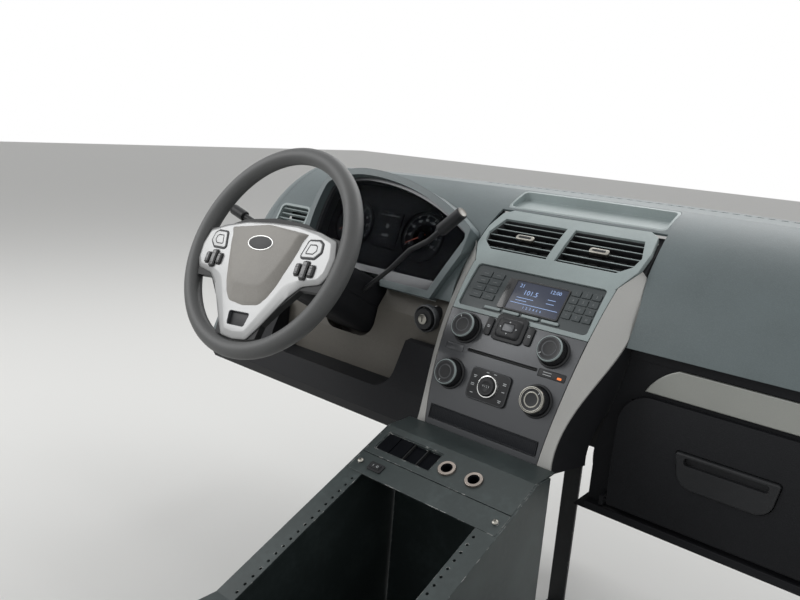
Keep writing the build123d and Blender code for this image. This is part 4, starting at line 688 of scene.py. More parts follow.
# %% Recipes with named inputs
class Recipe(Network):
    """A Geometry Nodes tree with named inputs, which makes a shape from a shape."""
    def __init__(self, name, **inputs):
        super().__init__(bpy.data.node_groups.new(name, "GeometryNodeTree"))
        self.tree.is_modifier = True
        for way in ("INPUT", "OUTPUT"):
            self.tree.interface.new_socket("Shape", in_out=way, socket_type="NodeSocketGeometry")
        for socket, kind in {**inputs, "Finish": "Material"}.items():
            self.tree.interface.new_socket(socket, in_out="INPUT", socket_type="NodeSocket" + kind)
        self.source = self.tree.nodes.new("NodeGroupInput")
        self.sink = self.tree.nodes.new("NodeGroupOutput")

    def given(self, name):
        return Wire(self, self.source.outputs[name])

    def end(self, shape):
        real = self.node("GeometryNodeRealizeInstances", {}, {"Geometry": shape})
        dressed = self.node("GeometryNodeSetMaterial", {},
                            {"Geometry": real, "Material": self.given("Finish")})
        self.tree.links.new(dressed.socket, self.sink.inputs[0])

    def run(self, shape, kind, **values):
        """The plain shape that the recipe makes."""
        item = standing("shape", mesh_of(shape))
        modifier = item.modifiers.new("recipe", "NODES")
        modifier.node_group = self.tree
        values["Finish"] = finish[kind]
        for socket in self.tree.interface.items_tree:
            if socket.in_out == "INPUT" and socket.name in values:
                modifier[socket.identifier] = values[socket.name]
        return settled(item)


# %% [markdown]
# Slats, ribs and ticks are copies of one shape at a regular step. The recipe puts a copy
# at every step along a line and turns each a little more than the last about a pivot. An
# array modifier can't turn about a pivot without a second object.

# %% Copies at a regular step
copies = Recipe("copies", Count="Int", Step="Vector", Turn="Vector", Pivot="Vector")
row = copies.node("GeometryNodeMeshLine", {"mode": "OFFSET"},
                  {"Count": copies.given("Count"), "Offset": copies.given("Step")})
placed = copies.node("GeometryNodeInstanceOnPoints", {}, {"Points": row, "Instance": copies.given("Shape")})
number = copies.node("GeometryNodeInputIndex", {}, {})
angle = copies.node("ShaderNodeVectorMath", {"operation": "SCALE"},
                    {0: copies.given("Turn"), "Scale": number})
turned = copies.node("GeometryNodeRotateInstances", {}, {
    "Instances": placed, "Rotation": copies.node("FunctionNodeEulerToRotation", {}, {0: angle}),
    "Pivot Point": copies.given("Pivot"), "Local Space": False})
copies.end(turned)


def repeated(shape, kind, count, step=(0, 0, 0), turn=(0, 0, 0), pivot=(0, 0, 0)):
    return copies.run(shape, kind, Count=count, Step=step, Turn=turn, Pivot=pivot)


print("nodes in the recipe", len(copies.tree.nodes))

# %% [markdown]
# The wheel's rim is a foam ring with a moulded skin. It is thickest at a quarter to three,
# where the hands hold it, and a little thinner at the top and bottom. That is a rule, so
# Geometry Nodes make the rim: a circle is swept along a circle, and the place of each
# point sets the tube's thickness there.

# %% Rim of the wheel
rim = Recipe("rim", Radius="Float", Tube="Float", Thinning="Float")
circle = rim.node("GeometryNodeCurvePrimitiveCircle", {"mode": "RADIUS"},
                  {"Resolution": 144, "Radius": rim.given("Radius")})
spot = rim.node("GeometryNodeInputPosition", {}, {})
share = rim.node("ShaderNodeSeparateXYZ", {}, {0: spot}, "X") / rim.given("Radius")
hold = 1 - rim.given("Thinning") * (1 - share * share)
sized = rim.node("GeometryNodeSetCurveRadius", {}, {"Curve": circle, "Radius": hold})
section = rim.node("GeometryNodeCurvePrimitiveCircle", {"mode": "RADIUS"},
                   {"Resolution": 28, "Radius": rim.given("Tube")})
rim.end(rim.node("GeometryNodeCurveToMesh", {}, {"Curve": sized, "Profile Curve": section, "Scale": hold}))
ring = rim.run(bmesh.new(), "rim_black", Radius=174.0, Tube=15.9, Thinning=0.09)
piece("rim", "steering_wheel", [(ring, "rim_black")], ["wheel_rim"], place=ON_WHEEL)


# %% [markdown]
# The cover in the middle of the wheel is one soft moulding: a raised field above, and a
# chin that falls away below it. Both come from one loft, whose loops run from the outer
# edge to the edge of the field. A plain oval dish with a bright ring sits in the field.

# %% Cover of the wheel
def symmetric(right, top, low, radii, top_radius, steps):
    """Rounded outline from its right half, which is listed from the top down."""
    points = [(0, low), *reversed(right), (0, top), *((-x, y) for x, y in right)]
    return corners(points, radii + [top_radius] + radii[:0:-1], steps)


def blended(one, two, share):
    return [(x + (u - x) * share, y + (v - y) * share) for (x, y), (u, v) in zip(one, two)]


def shrunk(outline, share):
    return [(x * share, y * share) for x, y in outline]


COVER = [(97, 31), (87, 20), (85, 4), (80, -14), (71, -40), (63, -64), (51, -86), (37, -101)]
COVER_ROUND = [30, 18, 30, 60, 90, 90, 60, 30, 7]
FIELD = [(80, 27), (75, 17), (71, 2), (64, -14), (54, -36), (46, -50), (39, -62), (29, -69)]
FIELD_ROUND = [30, 12, 30, 60, 90, 90, 60, 30, 12]
outer = symmetric(COVER, 41, -106, COVER_ROUND, 60, 5)
field = symmetric(FIELD, 37, -71, FIELD_ROUND, 60, 5)
cover = loft(stacked([
    (outer, 6.0), (outer, 8.4), (moved_in(outer, 0.6), 10.2), (moved_in(outer, 2.0), 11.6),
    (blended(outer, field, 0.35), 14.4), (blended(outer, field, 0.7), 17.6), (shrunk(field, 1.01), 19.5),
    (shrunk(field, 0.985), 20.1), (shrunk(field, 0.93), 20.5), (shrunk(field, 0.7), 20.8),
    (shrunk(field, 0.3), 21.0)]))
dish_line = oval(30, 13.5, 64, y=4)
piece("cover", "steering_wheel", [
    (cover, "cover_grey"), (plate(moved_in(dish_line, 2.0), 20.0, 21.5, 0.3), "knob_black"),
    (band(dish_line, 2.4, 20.4, 22.4, 0.7), "chrome")], ["airbag_cover"], 60, ON_WHEEL)

# %% [markdown]
# The spokes are one silver moulding. It is flat under the switches, has a ridge along the
# cover and falls away to its outer edge, so that it catches light as a narrow band. Two
# outlines with the same number of points say that, one for the edge and one for the ridge,
# and the loops between are blends. A window is cut near the foot, where the frame shows.

# %% Spokes
EDGE = [(60, 44), (112, 36), (150, 24), (159, -4), (156, -32), (147, -47), (110, -55), (88, -76),
        (65, -108), (47, -134), (30, -155)]
RIDGE = [(60, 40), (108, 31), (144, 19), (151, -5), (149, -28), (140, -41), (102, -47), (76, -58),
         (58, -88), (42, -114), (24, -144)]
SPOKE_ROUND = [20, 9, 30, 30, 30, 20, 12, 10, 14, 8, 10, 20]
WINDOW = corners([(-21, -137), (20, -137), (25, -113), (-26, -113)], 5)
edge = symmetric(EDGE, 46, -158, SPOKE_ROUND, 20, 4)
ridge = symmetric(RIDGE, 42, -147, SPOKE_ROUND, 20, 4)
spokes = loft(stacked([
    (edge, 6.3), (moved_in(edge, -0.2), 7.2), (moved_in(edge, 0.4), 8.4), (blended(edge, ridge, 0.35), 9.8),
    (blended(edge, ridge, 0.75), 11.3), (ridge, 12.0), (moved_in(ridge, 0.8), 12.1)]))
piece("spokes", "steering_wheel", [
    (cut(spokes, plate(WINDOW, 2, 20, 0.2)), "spoke_silver"),
    (band(moved_in(WINDOW, -0.3), 1.2, 6.2, 11.9), "panel_dark"),
    (plate(WINDOW, 6.25, 6.8, 0.2), "knob_black")], ["spoke_bezel"], 50, ON_WHEEL)


# %% [markdown]
# Each spoke carries a four-way pad and three thumb tabs. The pad is silver with a dark
# groove round its moving middle. The tabs are black and stand highest, so that a thumb
# finds them without looking. The left group is the right one mirrored, point by point,
# because a negative scale would turn its faces inside out.

# %% Switches on the spokes
PAD = [(90, -10), (121, -9), (132, 2), (130, 16), (122, 21), (99, 20)]
PAD_MIDDLE = (111, 5)
HEART = 0.56  # the pad's inner line, as a share of it
TAB_X, TAB_Y = 110, -30
TABS = ((-15, 11, 20), (0, 13, 31), (15, 11, 20))  # x from the middle tab, width, height
DASHES = ((-15, 4), (-15, -4), (0, 8), (0, -8), (15, 4), (15, -4))


def switches(side, name):
    line = corners(PAD if side > 0 else [(-x, y) for x, y in reversed(PAD)], 5, 6)
    heart = [(PAD_MIDDLE[0] * side + (x - PAD_MIDDLE[0] * side) * HEART,
              PAD_MIDDLE[1] + (y - PAD_MIDDLE[1]) * HEART) for x, y in line]
    tabs = [tile((w, h, 4, side * (TAB_X + x), TAB_Y), 8.4, 17.0, 3.2, 5) for x, w, h in TABS]
    pits = [tile((w + 2.4, h + 2.4, 4.4, side * (TAB_X + x), TAB_Y), 11.4, 12.5, 0.3)
            for x, w, h in TABS]
    dashes = [tile((4.4, 0.8, 0.2, side * (TAB_X + x), TAB_Y + y), 16.6, 17.2, 0.1)
              for x, y in DASHES]
    piece("switches_" + name, "steering_wheel", [
        (band(moved_in(line, -2.2), 3.4, 11.6, 12.7, 0.2), "knob_black"),
        (plate(moved_in(line, 0.9), 11.8, 14.2, 1.2, 5), "spoke_silver"),
        (band(heart, 1.5, 13.9, 14.6, 0.2), "knob_black"), (joined(tabs + pits), "gloss_black"),
        (joined(dashes), "dial_print")], ["wheel_switches_" + name], 50, ON_WHEEL)


switches(-1, "left")
switches(1, "right")


# %% [markdown]
# The four round knobs of the stack are turned parts: a collar, a ribbed side and a dished
# face with a pointer. The ribs are copies from the recipe. One knob has a bright face and
# ring, as the climate knob of such a car often has.

# %% Round knobs
KNOB_X, UPPER_DEG, LOWER_DEG = 79, 30.4, 21.2
RIBS = 48


def knob(name, x, deg, bright, point):
    collar = lathe([(25.4, 0), (25.4, 1.4), (24.8, 2.3), (22.8, 2.8), (21.9, 2.2), (21.9, 0)])
    side = lathe([(21.2, 1.0), (21.0, 3.0), (20.2, 16.2), (19.6, 17.8), (18.4, 18.6), (17.6, 18.3)])
    face = lathe([(17.7, 16.5), (17.5, 18.2), (16.9, 18.5), (12.4, 17.0), (11.9, 18.3), (10.9, 18.8),
                  (9.9, 18.3), (9.4, 17.2), (6.2, 17.0), (5.8, 17.8), (4.8, 18.0), (0.6, 18.0)])
    rib = tile((1.1, 1.3, 0.3, 20.75, 0), 3.4, 15.6, 0.4)
    ribs = repeated(rib, "knob_black", RIBS, turn=(0, 0, tau / RIBS))
    # on the dark knobs the ring is pale grey as a painted highlight of their rim; on the bright knob it is
    # bare steel
    ring = lathe([(17.8, 17.4), (18.4, 18.9), (19.4, 18.7), (20.1, 17.4), (20.3, 16.0), (18.0, 16.0)])
    tick = tile((1.1, 3.6, 0.4, 0, 15.2), 17.6, 18.95, 0.2)
    put(tick, Matrix.Rotation(radians(point), 4, "Z"))
    piece(name, "dashboard", [
        (joined([collar, side, ribs]), "knob_black"), (face, "zinc_steel" if bright else "panel_dark"),
        (ring, "zinc_steel" if bright else "bezel_grey"), (tick, "mark")],
        [name], 40, on_stack(x, deg, HAIR))


knob("knob_upper_left", -KNOB_X, UPPER_DEG, False, 30)
knob("knob_upper_right", KNOB_X, UPPER_DEG, False, 130)
knob("knob_lower_left", -KNOB_X, LOWER_DEG, False, 160)
knob("knob_lower_right", KNOB_X, LOWER_DEG, True, -40)

# %% [markdown]
# Between the upper knobs sits a rocker with four ways and a middle button, with a slim key
# at each side. Its arrows and dashes are thin plates, so that they catch the light as
# raised print does.

# %% Rocker of the radio
ROCKER_X, ROCKER_DEG = -5, 32.3
KEY_X, KEY_Y = 37, -3.4
rocker_top = loft(stacked([(box_outline(w, h, r), z) for w, h, r, z in (
    (43, 33, 7, 2.8), (42, 32, 7, 4.6), (38, 28, 6, 6.6), (36.5, 26.5, 6, 7.0), (22, 15, 3, 7.0),
    (21.4, 14.4, 3, 6.2))]))
keys = [tile((12, 30, 4, side * KEY_X, KEY_Y), 0, 3.0, 0.8) for side in (-1, 1)]
marks = [bar(5, 1.0, side * KEY_X, KEY_Y + y, 2.9, 3.1) for side in (-1, 1) for y in (-1.2, 1.2)]
for quarter in range(4):
    foot = 8.6 if quarter % 2 == 0 else 13.4  # the rocker is wider than it is high
    arrow = plate([(-1.6, foot), (1.6, foot), (0, foot + 2.6)], 6.8, 7.15, 0.05, 1)
    marks.append(put(arrow, Matrix.Rotation(pi / 2 * quarter, 4, "Z")))
piece("radio_rocker", "dashboard", [
    (joined([tile((56, 44, 9), 0, 3.0, 1.2)] + keys), "knob_black"), (rocker_top, "knob_black"),
    (tile((19.5, 12.5, 3), 5.8, 7.6, 0.6), "panel_dark"), (joined(marks), "mark")],
    ["radio_rocker"], 45, on_stack(ROCKER_X, ROCKER_DEG, HAIR))

# %% [markdown]
# The climate dial is a turned knob in a bright ring, on a square plate with a fine line
# round it. Plain dashes stand round the dial as its print.

# %% Climate dial
DIAL_DEG = 20.9
DIAL_MARKS = (  # x, y and width of each dash
    (-27, 12, 6), (-27, 9.6, 4), (-28, -1, 6), (-28, -3.4, 6), (-26, -15, 5), (27, 12, 6), (27, 9.6, 6),
    (28, -1, 5), (26, -15, 6), (26, -17.4, 4), (-7, 21, 5), (7, 21, 5))
dial_ring = lathe([(14.6, 2.8), (14.7, 6.6), (15.6, 7.6), (17.0, 7.4), (17.8, 6.2), (18.0, 2.8)])
dial_knob = lathe([(14.2, 2.8), (14.1, 9.6), (13.2, 10.8), (9.0, 10.2), (8.4, 10.5), (7.8, 10.1),
                   (0.5, 10.0)])
marks = [bar(w, 1.1, x, y, 3.3, 3.55) for x, y, w in DIAL_MARKS] + [figures("0 1 2 3", 3.2, lift=10.05)]
piece("climate_dial", "dashboard", [
    (tile((72, 50, 9), 0, 3.4, 0.9), "knob_black"), (dial_ring, "chrome"),
    (band(box_outline(70, 48, 8.4), 0.7, 3.2, 3.6, 0.15), "panel_dark"), (dial_knob, "knob_black"),
    (joined(marks), "mark")], ["climate_dial"], 45, on_stack(ROCKER_X, DIAL_DEG, HAIR))

# %% [markdown]
# The radio's panel and its keys are in the model. What it lacks is print, with numbers on
# the twelve keys at the right and short dashes on the eight at the left, and the four pale
# keys in a row under the screen.

# %% Print and soft keys of the radio
KEYS_DEG, KEYS_RIGHT, KEYS_LEFT = 40.2, 89, -82
KEY_ROW, KEY_SINK = 13.5, -1.62
digits = [figures(text, 4.6, (k % 3 - 1) * 17, (1.5 - k // 3) * KEY_ROW, 0.05)
          for k, text in enumerate("123456789*0#")]
key_dashes = [bar(8, 0.9, (k % 2 - 0.5) * 24, (1.5 - k // 2) * KEY_ROW, 0, 0.15) for k in range(8)]
soft_keys = [tile((30, 4.6, 2.0, x, 0.5), -0.4, 1.9, 0.9) for x in (-52, -17, 18, 53)]
printed = joined([put(joined(digits), on_stack(KEYS_RIGHT, KEYS_DEG, KEY_SINK)),
                  put(joined(key_dashes), on_stack(KEYS_LEFT, KEYS_DEG, KEY_SINK))])
piece("radio_print", "dashboard", [
    (printed, "dial_print"), (put(joined(soft_keys), on_stack(0, 35.5, -1.55)), "bezel_grey")])

# %% [markdown]
# The screen is a navy glass in a glossy dark frame, with a wider strip at its left. Its
# figures glow, so they are a finish of their own, a fraction above the glass. A picture
# on the glass would be quicker, but it would need an image.

# %% Screen of the radio
SCREEN_X, SCREEN_DEG = 14, 39.5
LIT_LIFT = 0.28
lit = [figures(text, height, x, y) for text, height, x, y in (
    ("12:00", 6.5, 26, 18), ("101.5", 8.5, -14, 7), ("21", 6.5, -34, 18), ("1  2  3  4  5  6", 4.2, 0, -19))]
lit += [bar(w, 0.9, x, y, 0, 0.12) for w, x, y in (
    (30, -20, -3), (20, -25, -8), (84, 0, -13), (14, 25, 4), (14, 25, -3))]
screen_frame = joined([band(box_outline(97, 57, 4), 2.6, -0.6, 1.3, 0.4),
                       tile((13, 56, 3, -55, 0), -0.5, 0.7, 0.3)])
piece("radio_screen", "dashboard", [
    (tile((93, 53, 3), -0.5, 0.25, 0.2), "screen_navy"), (screen_frame, "gloss_black"),
    (put(joined(lit), Matrix.Translation((0, 0, LIT_LIFT))), "screen_light")],
    ["radio_screen"], place=on_stack(SCREEN_X, SCREEN_DEG, -2.5))

# %% [markdown]
# Under the radio the panel has a slot for discs between two small lamp windows. A black
# liner with a brush edge closes the slot: the brushes are the slot's own, and the liner's
# black is painted shade, where the deep slot is dark. The windows are smoked glass, and
# one of them shows a small amber lamp.

# %% Slot and lamp windows
SLOT = on_stack(0, 26.5, -2.9)
LEFT_WINDOW, RIGHT_WINDOW = (on_stack(x, 26.3, -0.75) for x in (-89, 89))
# painted shade: the liner's black plate stands for the dark depth of the slot; the brush strips are real
liner = [tile((127, 4.4, 1.8), -0.4, 0.6, 0.1)]
liner += [tile((126, 0.9, 0.3, 0, y), 0.4, 1.3, 0.3) for y in (-1.3, 1.3)]
windows = [(put(tile((w, 11.2, 1.8), -0.2, 0.7, 0.3), place), kind) for w, place, kind in (
    (33, LEFT_WINDOW, "panel_dark"), (45, RIGHT_WINDOW, "knob_black"))]
window_lamp = put(bar(7, 3.4, 13, -1.8, 0.6, 0.8, 1), RIGHT_WINDOW)
window_print = put(joined([bar(14, 0.9, -8, y, 0.6, 0.8) for y in (2.2, -1.6)]), RIGHT_WINDOW)
piece("disc_slot", "dashboard", [
    (put(joined(liner), SLOT), "case_black"), *windows, (window_lamp, "amber"), (window_print, "mark")])


# %% [markdown]
# A vent has five slats across it, thin vanes behind them and a tab that moves the slats.
# The opening isn't square, so slats of one length would stick out of it. They are copies
# turned about the drum's line, and planes through the sides of the opening then trim them.
# A pale strip along the front of each slat is a painted highlight, where the slats' front
# edges catch the light, and the tab is bright at its rim.

# %% Centre vents
VENT_LOW, VENT_HIGH, VENT_DEG = 48.6, 57.6, 53.1
VENT = ((8, VENT_LOW), (8, VENT_HIGH), (127, VENT_HIGH), (139, 53.0), (134, 50.6), (114, VENT_LOW))
SLATS, VANES, VANE_STEP = 5, 5, 22
SLAT = ((-0.7, -16), (0.7, -16), (1.1, -10), (1.0, -6.4), (0.5, -5.5), (-0.5, -5.5), (-1.0, -6.4),
        (-1.1, -10))  # the slat's section, y and z
GRIP_X = 68


def trim_to(outline, shapes):
    """Cut away what lies outside the opening, which is flat on the face of the stack."""
    inside = stack_point(70, VENT_DEG) * MM
    for k, start in enumerate(outline):
        a, b = (stack_point(x, VENT_DEG, y) * MM for x, y in (start, outline[(k + 1) % len(outline)]))
        out = (b - a).cross(leaning(VENT_DEG))
        if out.dot(inside - a) > 0:
            out.negate()
        for shape in shapes:
            bmesh.ops.bisect_plane(shape, geom=shape.verts[:] + shape.edges[:] + shape.faces[:], dist=1e-7,
                                   plane_co=a, plane_no=out, clear_outer=True)


def vent(side, name):
    pitch = (VENT_HIGH - VENT_LOW) / SLATS
    first = VENT_LOW + pitch / 2
    fan = {"turn": (-radians(pitch), 0, 0), "pivot": DRUM_LINE}
    slat = bend(loft([[(x, y, z) for y, z in SLAT] for x in (9, 138)]), 0, first)
    slats = repeated(slat, "knob_black", SLATS, **fan)
    # painted highlight: a pale strip on the front edge of each slat
    highlight_lip = bend(tile((129, 1.5, 0.4, 73.5, 0), -6.2, -4.9, 0.4, 2), 0, first)
    highlight_lips = repeated(highlight_lip, "bezel_grey", SLATS, **fan)
    vane = bend(tile((1.4, 88, 0.5), -27.5, -19, 0.4), VANE_STEP, VENT_DEG)
    vanes = repeated(vane, "knob_black", VANES, step=(VANE_STEP * MM, 0, 0))
    outline = corners([(x, radians(deg - VENT_DEG) * STACK_R) for x, deg in VENT], 4)
    trim_to(outline, (slats, vanes, highlight_lips))
    ring = bend(band(outline, 1.5, -27, -4.6, 0.4), 0, VENT_DEG)
    back = bend(plate(moved_in(outline, 0.6), -27, -25.6, 0.2), 0, VENT_DEG)
    grip = bend(tile((34, 11, 4.6, GRIP_X, 0), -6.5, 0.2, 1.6, 4), 0, VENT_DEG)
    pit = [tile((24, 5.4, 2.6, GRIP_X, 0), -0.4, 0.5, 0.4)]
    pit += [tile((1.0, 3.6, 0.4, GRIP_X + x, 0), 0.3, 1.0, 0.3) for x in range(-9, 10, 3)]
    parts = [(joined([slats, vanes, ring]), "knob_black"), (back, "case_black"), (highlight_lips, "bezel_grey"),
             (grip, "zinc_steel"), (bend(joined(pit), 0, VENT_DEG), "knob_black")]
    piece("centre_vent_" + name, "dashboard", parts, ["centre_vent_" + name], 45,
          Matrix.Scale(side, 4, ACROSS))


vent(-1, "left")
vent(1, "right")

# %% [markdown]
# The gauges are two dials with a small display between them. Each dial has forty-one ticks
# over two thirds of a turn, from the copies recipe, every fifth one longer. The needles
# rest just past zero.

# %% Gauges
DIALS_X, DIALS_Y = 88, -28
TICK_DEG, TICKS, FIFTH = 6, 41, 5
ZERO = radians(210)  # the first number, from the x axis
NEEDLE_REST = radians(2)  # a little past zero
NUMBERS_R = 32
gauge_parts = {"dial_black": [], "dial_print": [], "needle_red": []}
for side, values in ((-1, "0 1 2 3 4 5 6 7 8"), (1, "0 20 40 60 80 100 120 140 160")):
    turn = Matrix.Rotation(ZERO - pi / 2, 4, "Z")
    fine = put(bar(0.5, 3.0, 0, 41.5, 0, 0.3, 0.1), turn)
    thick = put(bar(1.1, 5.2, 0, 40.4, 0, 0.35, 0.2), turn)
    scale = [repeated(fine, "dial_print", TICKS, turn=(0, 0, -radians(TICK_DEG))),
             repeated(thick, "dial_print", TICKS // FIFTH + 1, turn=(0, 0, -radians(TICK_DEG * FIFTH)))]
    for k, text in enumerate(values.split()):
        a = ZERO - radians(TICK_DEG * FIFTH * k)
        scale.append(figures(text, 5.2, NUMBERS_R * cos(a), NUMBERS_R * sin(a)))
    dish = lathe([(46.8, 0.0), (46.0, 0.9), (45.0, 0.4), (24.0, 0.1), (22.5, 0.6), (21.5, 0.1),
                  (0.5, 0.05)], 72)
    needle = plate([(-1.3, -8), (1.3, -8), (0.35, 38), (-0.35, 38)], 3.4, 4.2, 0.2, 1)
    put(needle, Matrix.Rotation(ZERO - pi / 2 - NEEDLE_REST, 4, "Z"))
    hub = lathe([(7.5, 0), (7.2, 5.6), (6.0, 6.6), (0.5, 6.7)], 32)
    for kind, shapes, lift in (("dial_black", [dish, hub], 0.0), ("dial_print", scale, 0.2),
                               ("needle_red", [needle], 0.0)):
        place = Matrix.Translation((side * DIALS_X, DIALS_Y, lift))
        gauge_parts[kind] += [put(shape, place) for shape in shapes]
gauge_parts["dial_black"].append(tile((60, 70, 5, 0, DIALS_Y), 2.6, 3.3, 0.2))
gauge_parts["dial_print"] += [figures("0", 9, 0, -22, 3.35), figures("00000", 5, 0, -40, 3.35)]
gauge_parts["dial_print"] += [bar(5, 1.0, -20 + 8 * k, 0, 3.2, 3.45) for k in range(6)]
piece("dials", "dashboard", [(joined(shapes), kind) for kind, shapes in gauge_parts.items()],
      place=ON_GAUGES)

# %% [markdown]
# The lever at the wheel's right ends in a paler disc. It is a turned part, so it is only a
# profile, put on the line from the knob's foot to its tip.

# %% Lever's end
LEVER_FOOT, LEVER_TIP = Vector((-178, -269, 107)), Vector((-150, -270, 131))
lever_way = (LEVER_TIP - LEVER_FOOT).normalized()
end_disc = lathe([(7.9, 47.0), (8.1, 48.3), (7.6, 48.8), (6.9, 48.5), (6.3, 48.2), (0.5, 48.3)], 40)
piece("lever_disc", "column", [(end_disc, "lever_face")],
      place=flat_place(LEVER_TIP, TO_REAR.cross(lever_way), lever_way))

# %% [markdown]
# The ignition lock has a dark collar round it and a slotted steel face. Both are turned,
# and the collar's profile comes back to its start, because a barrel stands inside it.

# %% Face of the lock
LOCK = flat_place((-190, -236, -33), ACROSS, TO_REAR)
collar = closed_loft(circles([(20.6, 0.5), (24.0, 0.5), (24.2, 9.0), (23.6, 11.2), (22.6, 12.0), (21.4, 11.6),
                              (20.6, 9.6)], 56))
face = lathe([(8.7, 17.2), (8.8, 18.4), (8.0, 18.9), (0.5, 18.9)], 40)
piece("lock_face", "dashboard", [
    # painted shade: the key slot is a dark bar on the face, not a cut
    (collar, "panel_dark"), (face, "zinc_steel"), (bar(2.0, 9.0, 0, 0, 18.6, 19.1, 0.6, 0.1), "dial_black")],
    place=LOCK)

# %% [markdown]
# The side vents' slats and the slots of the defroster grille are in the model, and only
# the dark ducts behind them are missing. Each gets a plain back, a little smaller than
# the node that it closes, whose size comes from the frame.

# %% Backs of the side vents and the grille
BACK_MARGIN = 8
for vent_name in ("side_vent_left", "side_vent_right"):
    low, high = (Vector(v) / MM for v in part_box(vent_name))
    middle = (low + high) / 2
    back = tile((high.x - low.x - BACK_MARGIN, high.z - low.z - BACK_MARGIN, 4), 0, 1.4, 0.4)
    piece(vent_name + "_back", "dashboard", [(back, "case_black")],
          place=flat_place((middle.x, high.y - 2.5, middle.z), ACROSS, TO_REAR))
low, high = (Vector(v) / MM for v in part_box("defroster_grille"))
middle = (low + high) / 2
under = tile((high.x - low.x - 6, high.y - low.y - 3, 2), 0, 1.0, 0.3)
piece("grille_back", "dashboard", [(under, "case_black")],
      place=flat_place((middle.x, middle.y, low.z - 1.6), ACROSS, UP))

# %% [markdown]
# The mat at the foot of the stack is soft rubber in a shallow tray: a raised lip, and low
# ribs that hardly catch the light. The ribs are copies from the recipe, and the whole mat
# is bent round the drum at the end.

# %% Mat of the stack
MAT_DEG, MAT_W, MAT_H = 13.2, 197.0, 21.4
MAT_RIBS, RIB_STEP = 62, 3.1
mat_line = box_outline(MAT_W, MAT_H, 3)
mat_rib = tile((1.6, MAT_H - 4.6, 0.7, 4 - MAT_W / 2, 0), -0.6, -0.25, 0.15, 2)
mat = joined([plate(mat_line, -2.0, -0.5, 0.3), band(mat_line, 1.6, -1.0, 0.4, 0.4),
              repeated(mat_rib, "mat_rubber", MAT_RIBS, step=(RIB_STEP, 0, 0))])
piece("mat", "dashboard", [(bend(mat, 0, MAT_DEG), "mat_rubber")], ["tray_mat"])

# %% [markdown]
# A power socket is a bright ring with a dark liner inside it, and a small contact at the
# bottom. The ring is in the model. The liner is made twice, once for each socket.

# %% Liners of the sockets
LINER_R = 8.9
SOCKETS_DOWN = 35
for socket_name, socket_x in (("left", 6), ("right", 54)):
    tube = closed_loft(circles([(LINER_R, -28), (LINER_R, 1.2), (LINER_R - 0.8, 2.2), (LINER_R - 1.8, 1.6),
                                (LINER_R - 2.0, -28)], 40))
    cup = lathe([(LINER_R - 1.0, -29), (LINER_R - 1.0, -27.4), (4.0, -27.2), (3.6, -25.6), (0.5, -25.0)], 40)
    piece("socket_liner_" + socket_name, "dashboard", [(joined([tube, cup]), "dial_black")],
          place=on_console(socket_x, SOCKETS_DOWN))

# %% [markdown]
# The console's opening for switches holds two blank caps at its left, and the rest of it
# is an empty well with two bars, all inside one thin frame. The well's black floor is
# painted shade.

# %% Caps of the console
caps = [tile((24.4, 35.2, 2.4, x, 0), -5.6, -0.7, 0.8) for x in (-39.8, -13.6)]
bars = [tile((1.6, 35.6, 0.5, x, 0), -5.5, -1.0, 0.3) for x in (0.8, 27.0)]
piece("console_caps", "dashboard", [
    (band(box_outline(106.6, 38.6, 3), 1.4, -5.8, -0.5), "console_paint"),
    # painted shade: a black floor closes the empty well, where the open hole is dark
    (tile((105, 37, 3), -6.2, -5.2, 0.2), "dial_black"), (joined(caps), "dial_black"),
    (joined(bars), "case_black")], ["switch_blank"], place=on_console(-70, 32))

# %% [markdown]
# The strip below it carries a rocker, which is in the model, with the two usual marks for
# on and off. Its screws are pan heads with a cross slot, two copies of one.

# %% Fittings of the console's strip
STRIP_DOWN, SCREW_X, SWITCH_X = 83.5, 123.1, -92
head = lathe([(4.3, 1.6), (4.5, 2.6), (3.6, 3.6), (2.0, 4.1), (0.4, 4.2)], 28, -SCREW_X)
# painted shade: the cross slot is a dark raised cross on the head, not a cut
cross = joined([bar(w, h, -SCREW_X, 0, 3.7, 4.35, 0.2, 0.1) for w, h in ((4.4, 0.8), (0.8, 4.4))])
screws = [(repeated(shape, kind, 2, (2 * SCREW_X, 0, 0)), kind)
          for shape, kind in ((head, "zinc_steel"), (cross, "dial_black"))]
on_mark = bar(0.8, 3.2, SWITCH_X - 4, 0, 4.3, 4.7, 0.2, 0.1)
off_mark = band(oval(1.9, 1.9, 24, SWITCH_X + 4), 0.6, 4.3, 4.7, 0.1)
piece("strip_fittings", "dashboard", screws + [(joined([on_mark, off_mark]), "mark")],
      place=on_console(0, STRIP_DOWN))


# %% [markdown]
# The floor is a pale sheet just under the object, marked as stage. The world behind it is
# white to the camera, to glossy and to clear rays only, so that metal and glass show it
# too, while a weaker share of it fills the shadows on the object.

# %% Floor and world
FLOOR_HALF, UNDER = 12, 0.001
FILL = 0.46  # the world's strength as light

ground_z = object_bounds()[0][2] - UNDER
sheet = bpy.data.meshes.new("ground")
sheet.from_pydata([(x * FLOOR_HALF, y * FLOOR_HALF, ground_z)
                   for x, y in ((-1, -1), (1, -1), (1, 1), (-1, 1))], [], [(0, 1, 2, 3)])
Paint("ground", Base_Color=tone(226, 226, 224), Roughness=0.8)
sheet.materials.append(finish["ground"])
standing("ground", sheet)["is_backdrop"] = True

world = bpy.data.worlds.new("studio")
bpy.context.scene.world = world
world.use_nodes = True
studio = Network(world.node_tree)
camera_ray, glossy_ray, clear_ray = (studio.node("ShaderNodeLightPath", {}, {}, "Is " + kind + " Ray")
                                     for kind in ("Camera", "Glossy", "Transmission"))
seen = studio.maths("MAXIMUM", studio.maths("MAXIMUM", camera_ray, clear_ray), glossy_ray)
background = world.node_tree.nodes["Background"]
background.inputs["Color"].default_value = (1, 1, 1, 1)
world.node_tree.links.new((FILL + seen * (1 - FILL)).socket, background.inputs["Strength"])
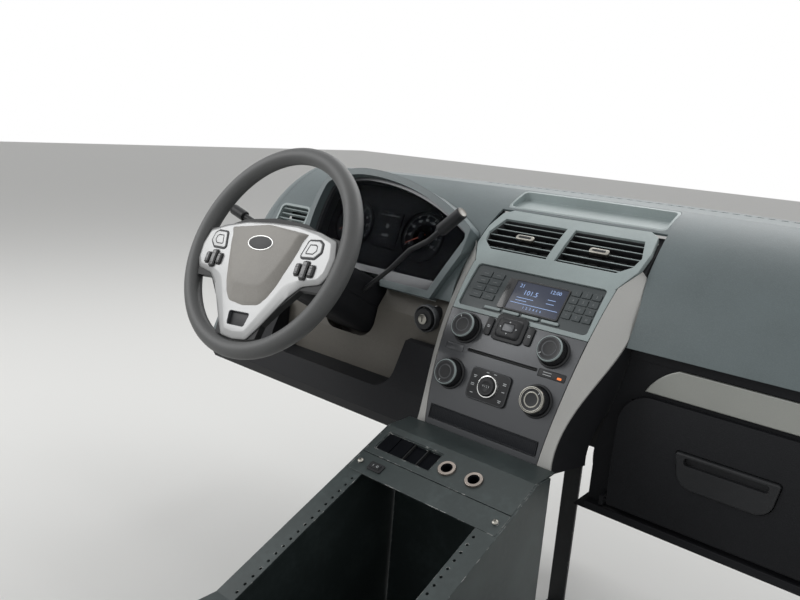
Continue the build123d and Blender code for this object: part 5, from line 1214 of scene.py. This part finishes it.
print("floor at", round(ground_z, 4), "m")


# %% [markdown]
# The light on the object comes from three soft lamps. The widest lies ahead and above, as
# daylight comes in over a dash. One fills from the rear at the wheel's side, and a faint one
# lights the other side.

# %% Lamps
def lamp(name, place, aim, size, power):
    data = bpy.data.lights.new(name, "AREA")
    data.shape = "RECTANGLE"
    data.size, data.size_y = size
    data.energy = power
    item = standing(name, data)
    item.location = place
    item.rotation_euler = (Vector(aim) - Vector(place)).to_track_quat("-Z", "Y").to_euler()
    print("lamp", name, power, "W")


lamp("sky", (0.0, 1.5, 1.9), (0, -0.2, 0), (3.0, 1.6), 46)
lamp("rear", (-2.2, -1.9, 1.5), (-0.1, -0.2, 0), (1.8, 1.6), 32)
lamp("side", (2.4, -0.8, 1.0), (0.2, -0.3, 0), (1.4, 1.4), 2)

# %% [markdown]
# The camera stands where the photograph was taken from, high at the rear right. Its place,
# turn and lens were solved together from points of the cockpit whose real places are known
# or usual. A camera looks down its own -Z, so a level one is first tipped up by a right
# angle.

# %% Camera
CAMERA_AT = Vector((0.6148, -1.2755, 0.3021))
YAW, PITCH, ROLL = (radians(a) for a in (40.02, -13.17, 4.35))
SENSOR, LENS = 36, 35.18  # millimetres
camera_data = bpy.data.cameras.new("view")
camera_data.sensor_width = SENSOR
camera_data.lens = LENS
camera_data.clip_start = 0.02
camera = standing("view", camera_data)
camera.matrix_world = (Matrix.Translation(CAMERA_AT) @ Matrix.Rotation(YAW, 4, "Z")
                       @ Matrix.Rotation(pi / 2 + PITCH, 4, "X") @ Matrix.Rotation(ROLL, 4, "Z"))
bpy.context.scene.camera = camera
bpy.context.scene.view_settings.view_transform = "Standard"
print("camera to the wheel's hub", round((ON_WHEEL.translation - CAMERA_AT).length, 3), "m")

# %% [markdown]
# The dressed object must take the same room as the model. The top of each box is printed.

# %% Measure and finish
reach_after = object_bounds()
for when, reach in (("packed", reach_before), ("dressed", reach_after)):
    print(when, "top at", round(reach[1][2], 4), "m")
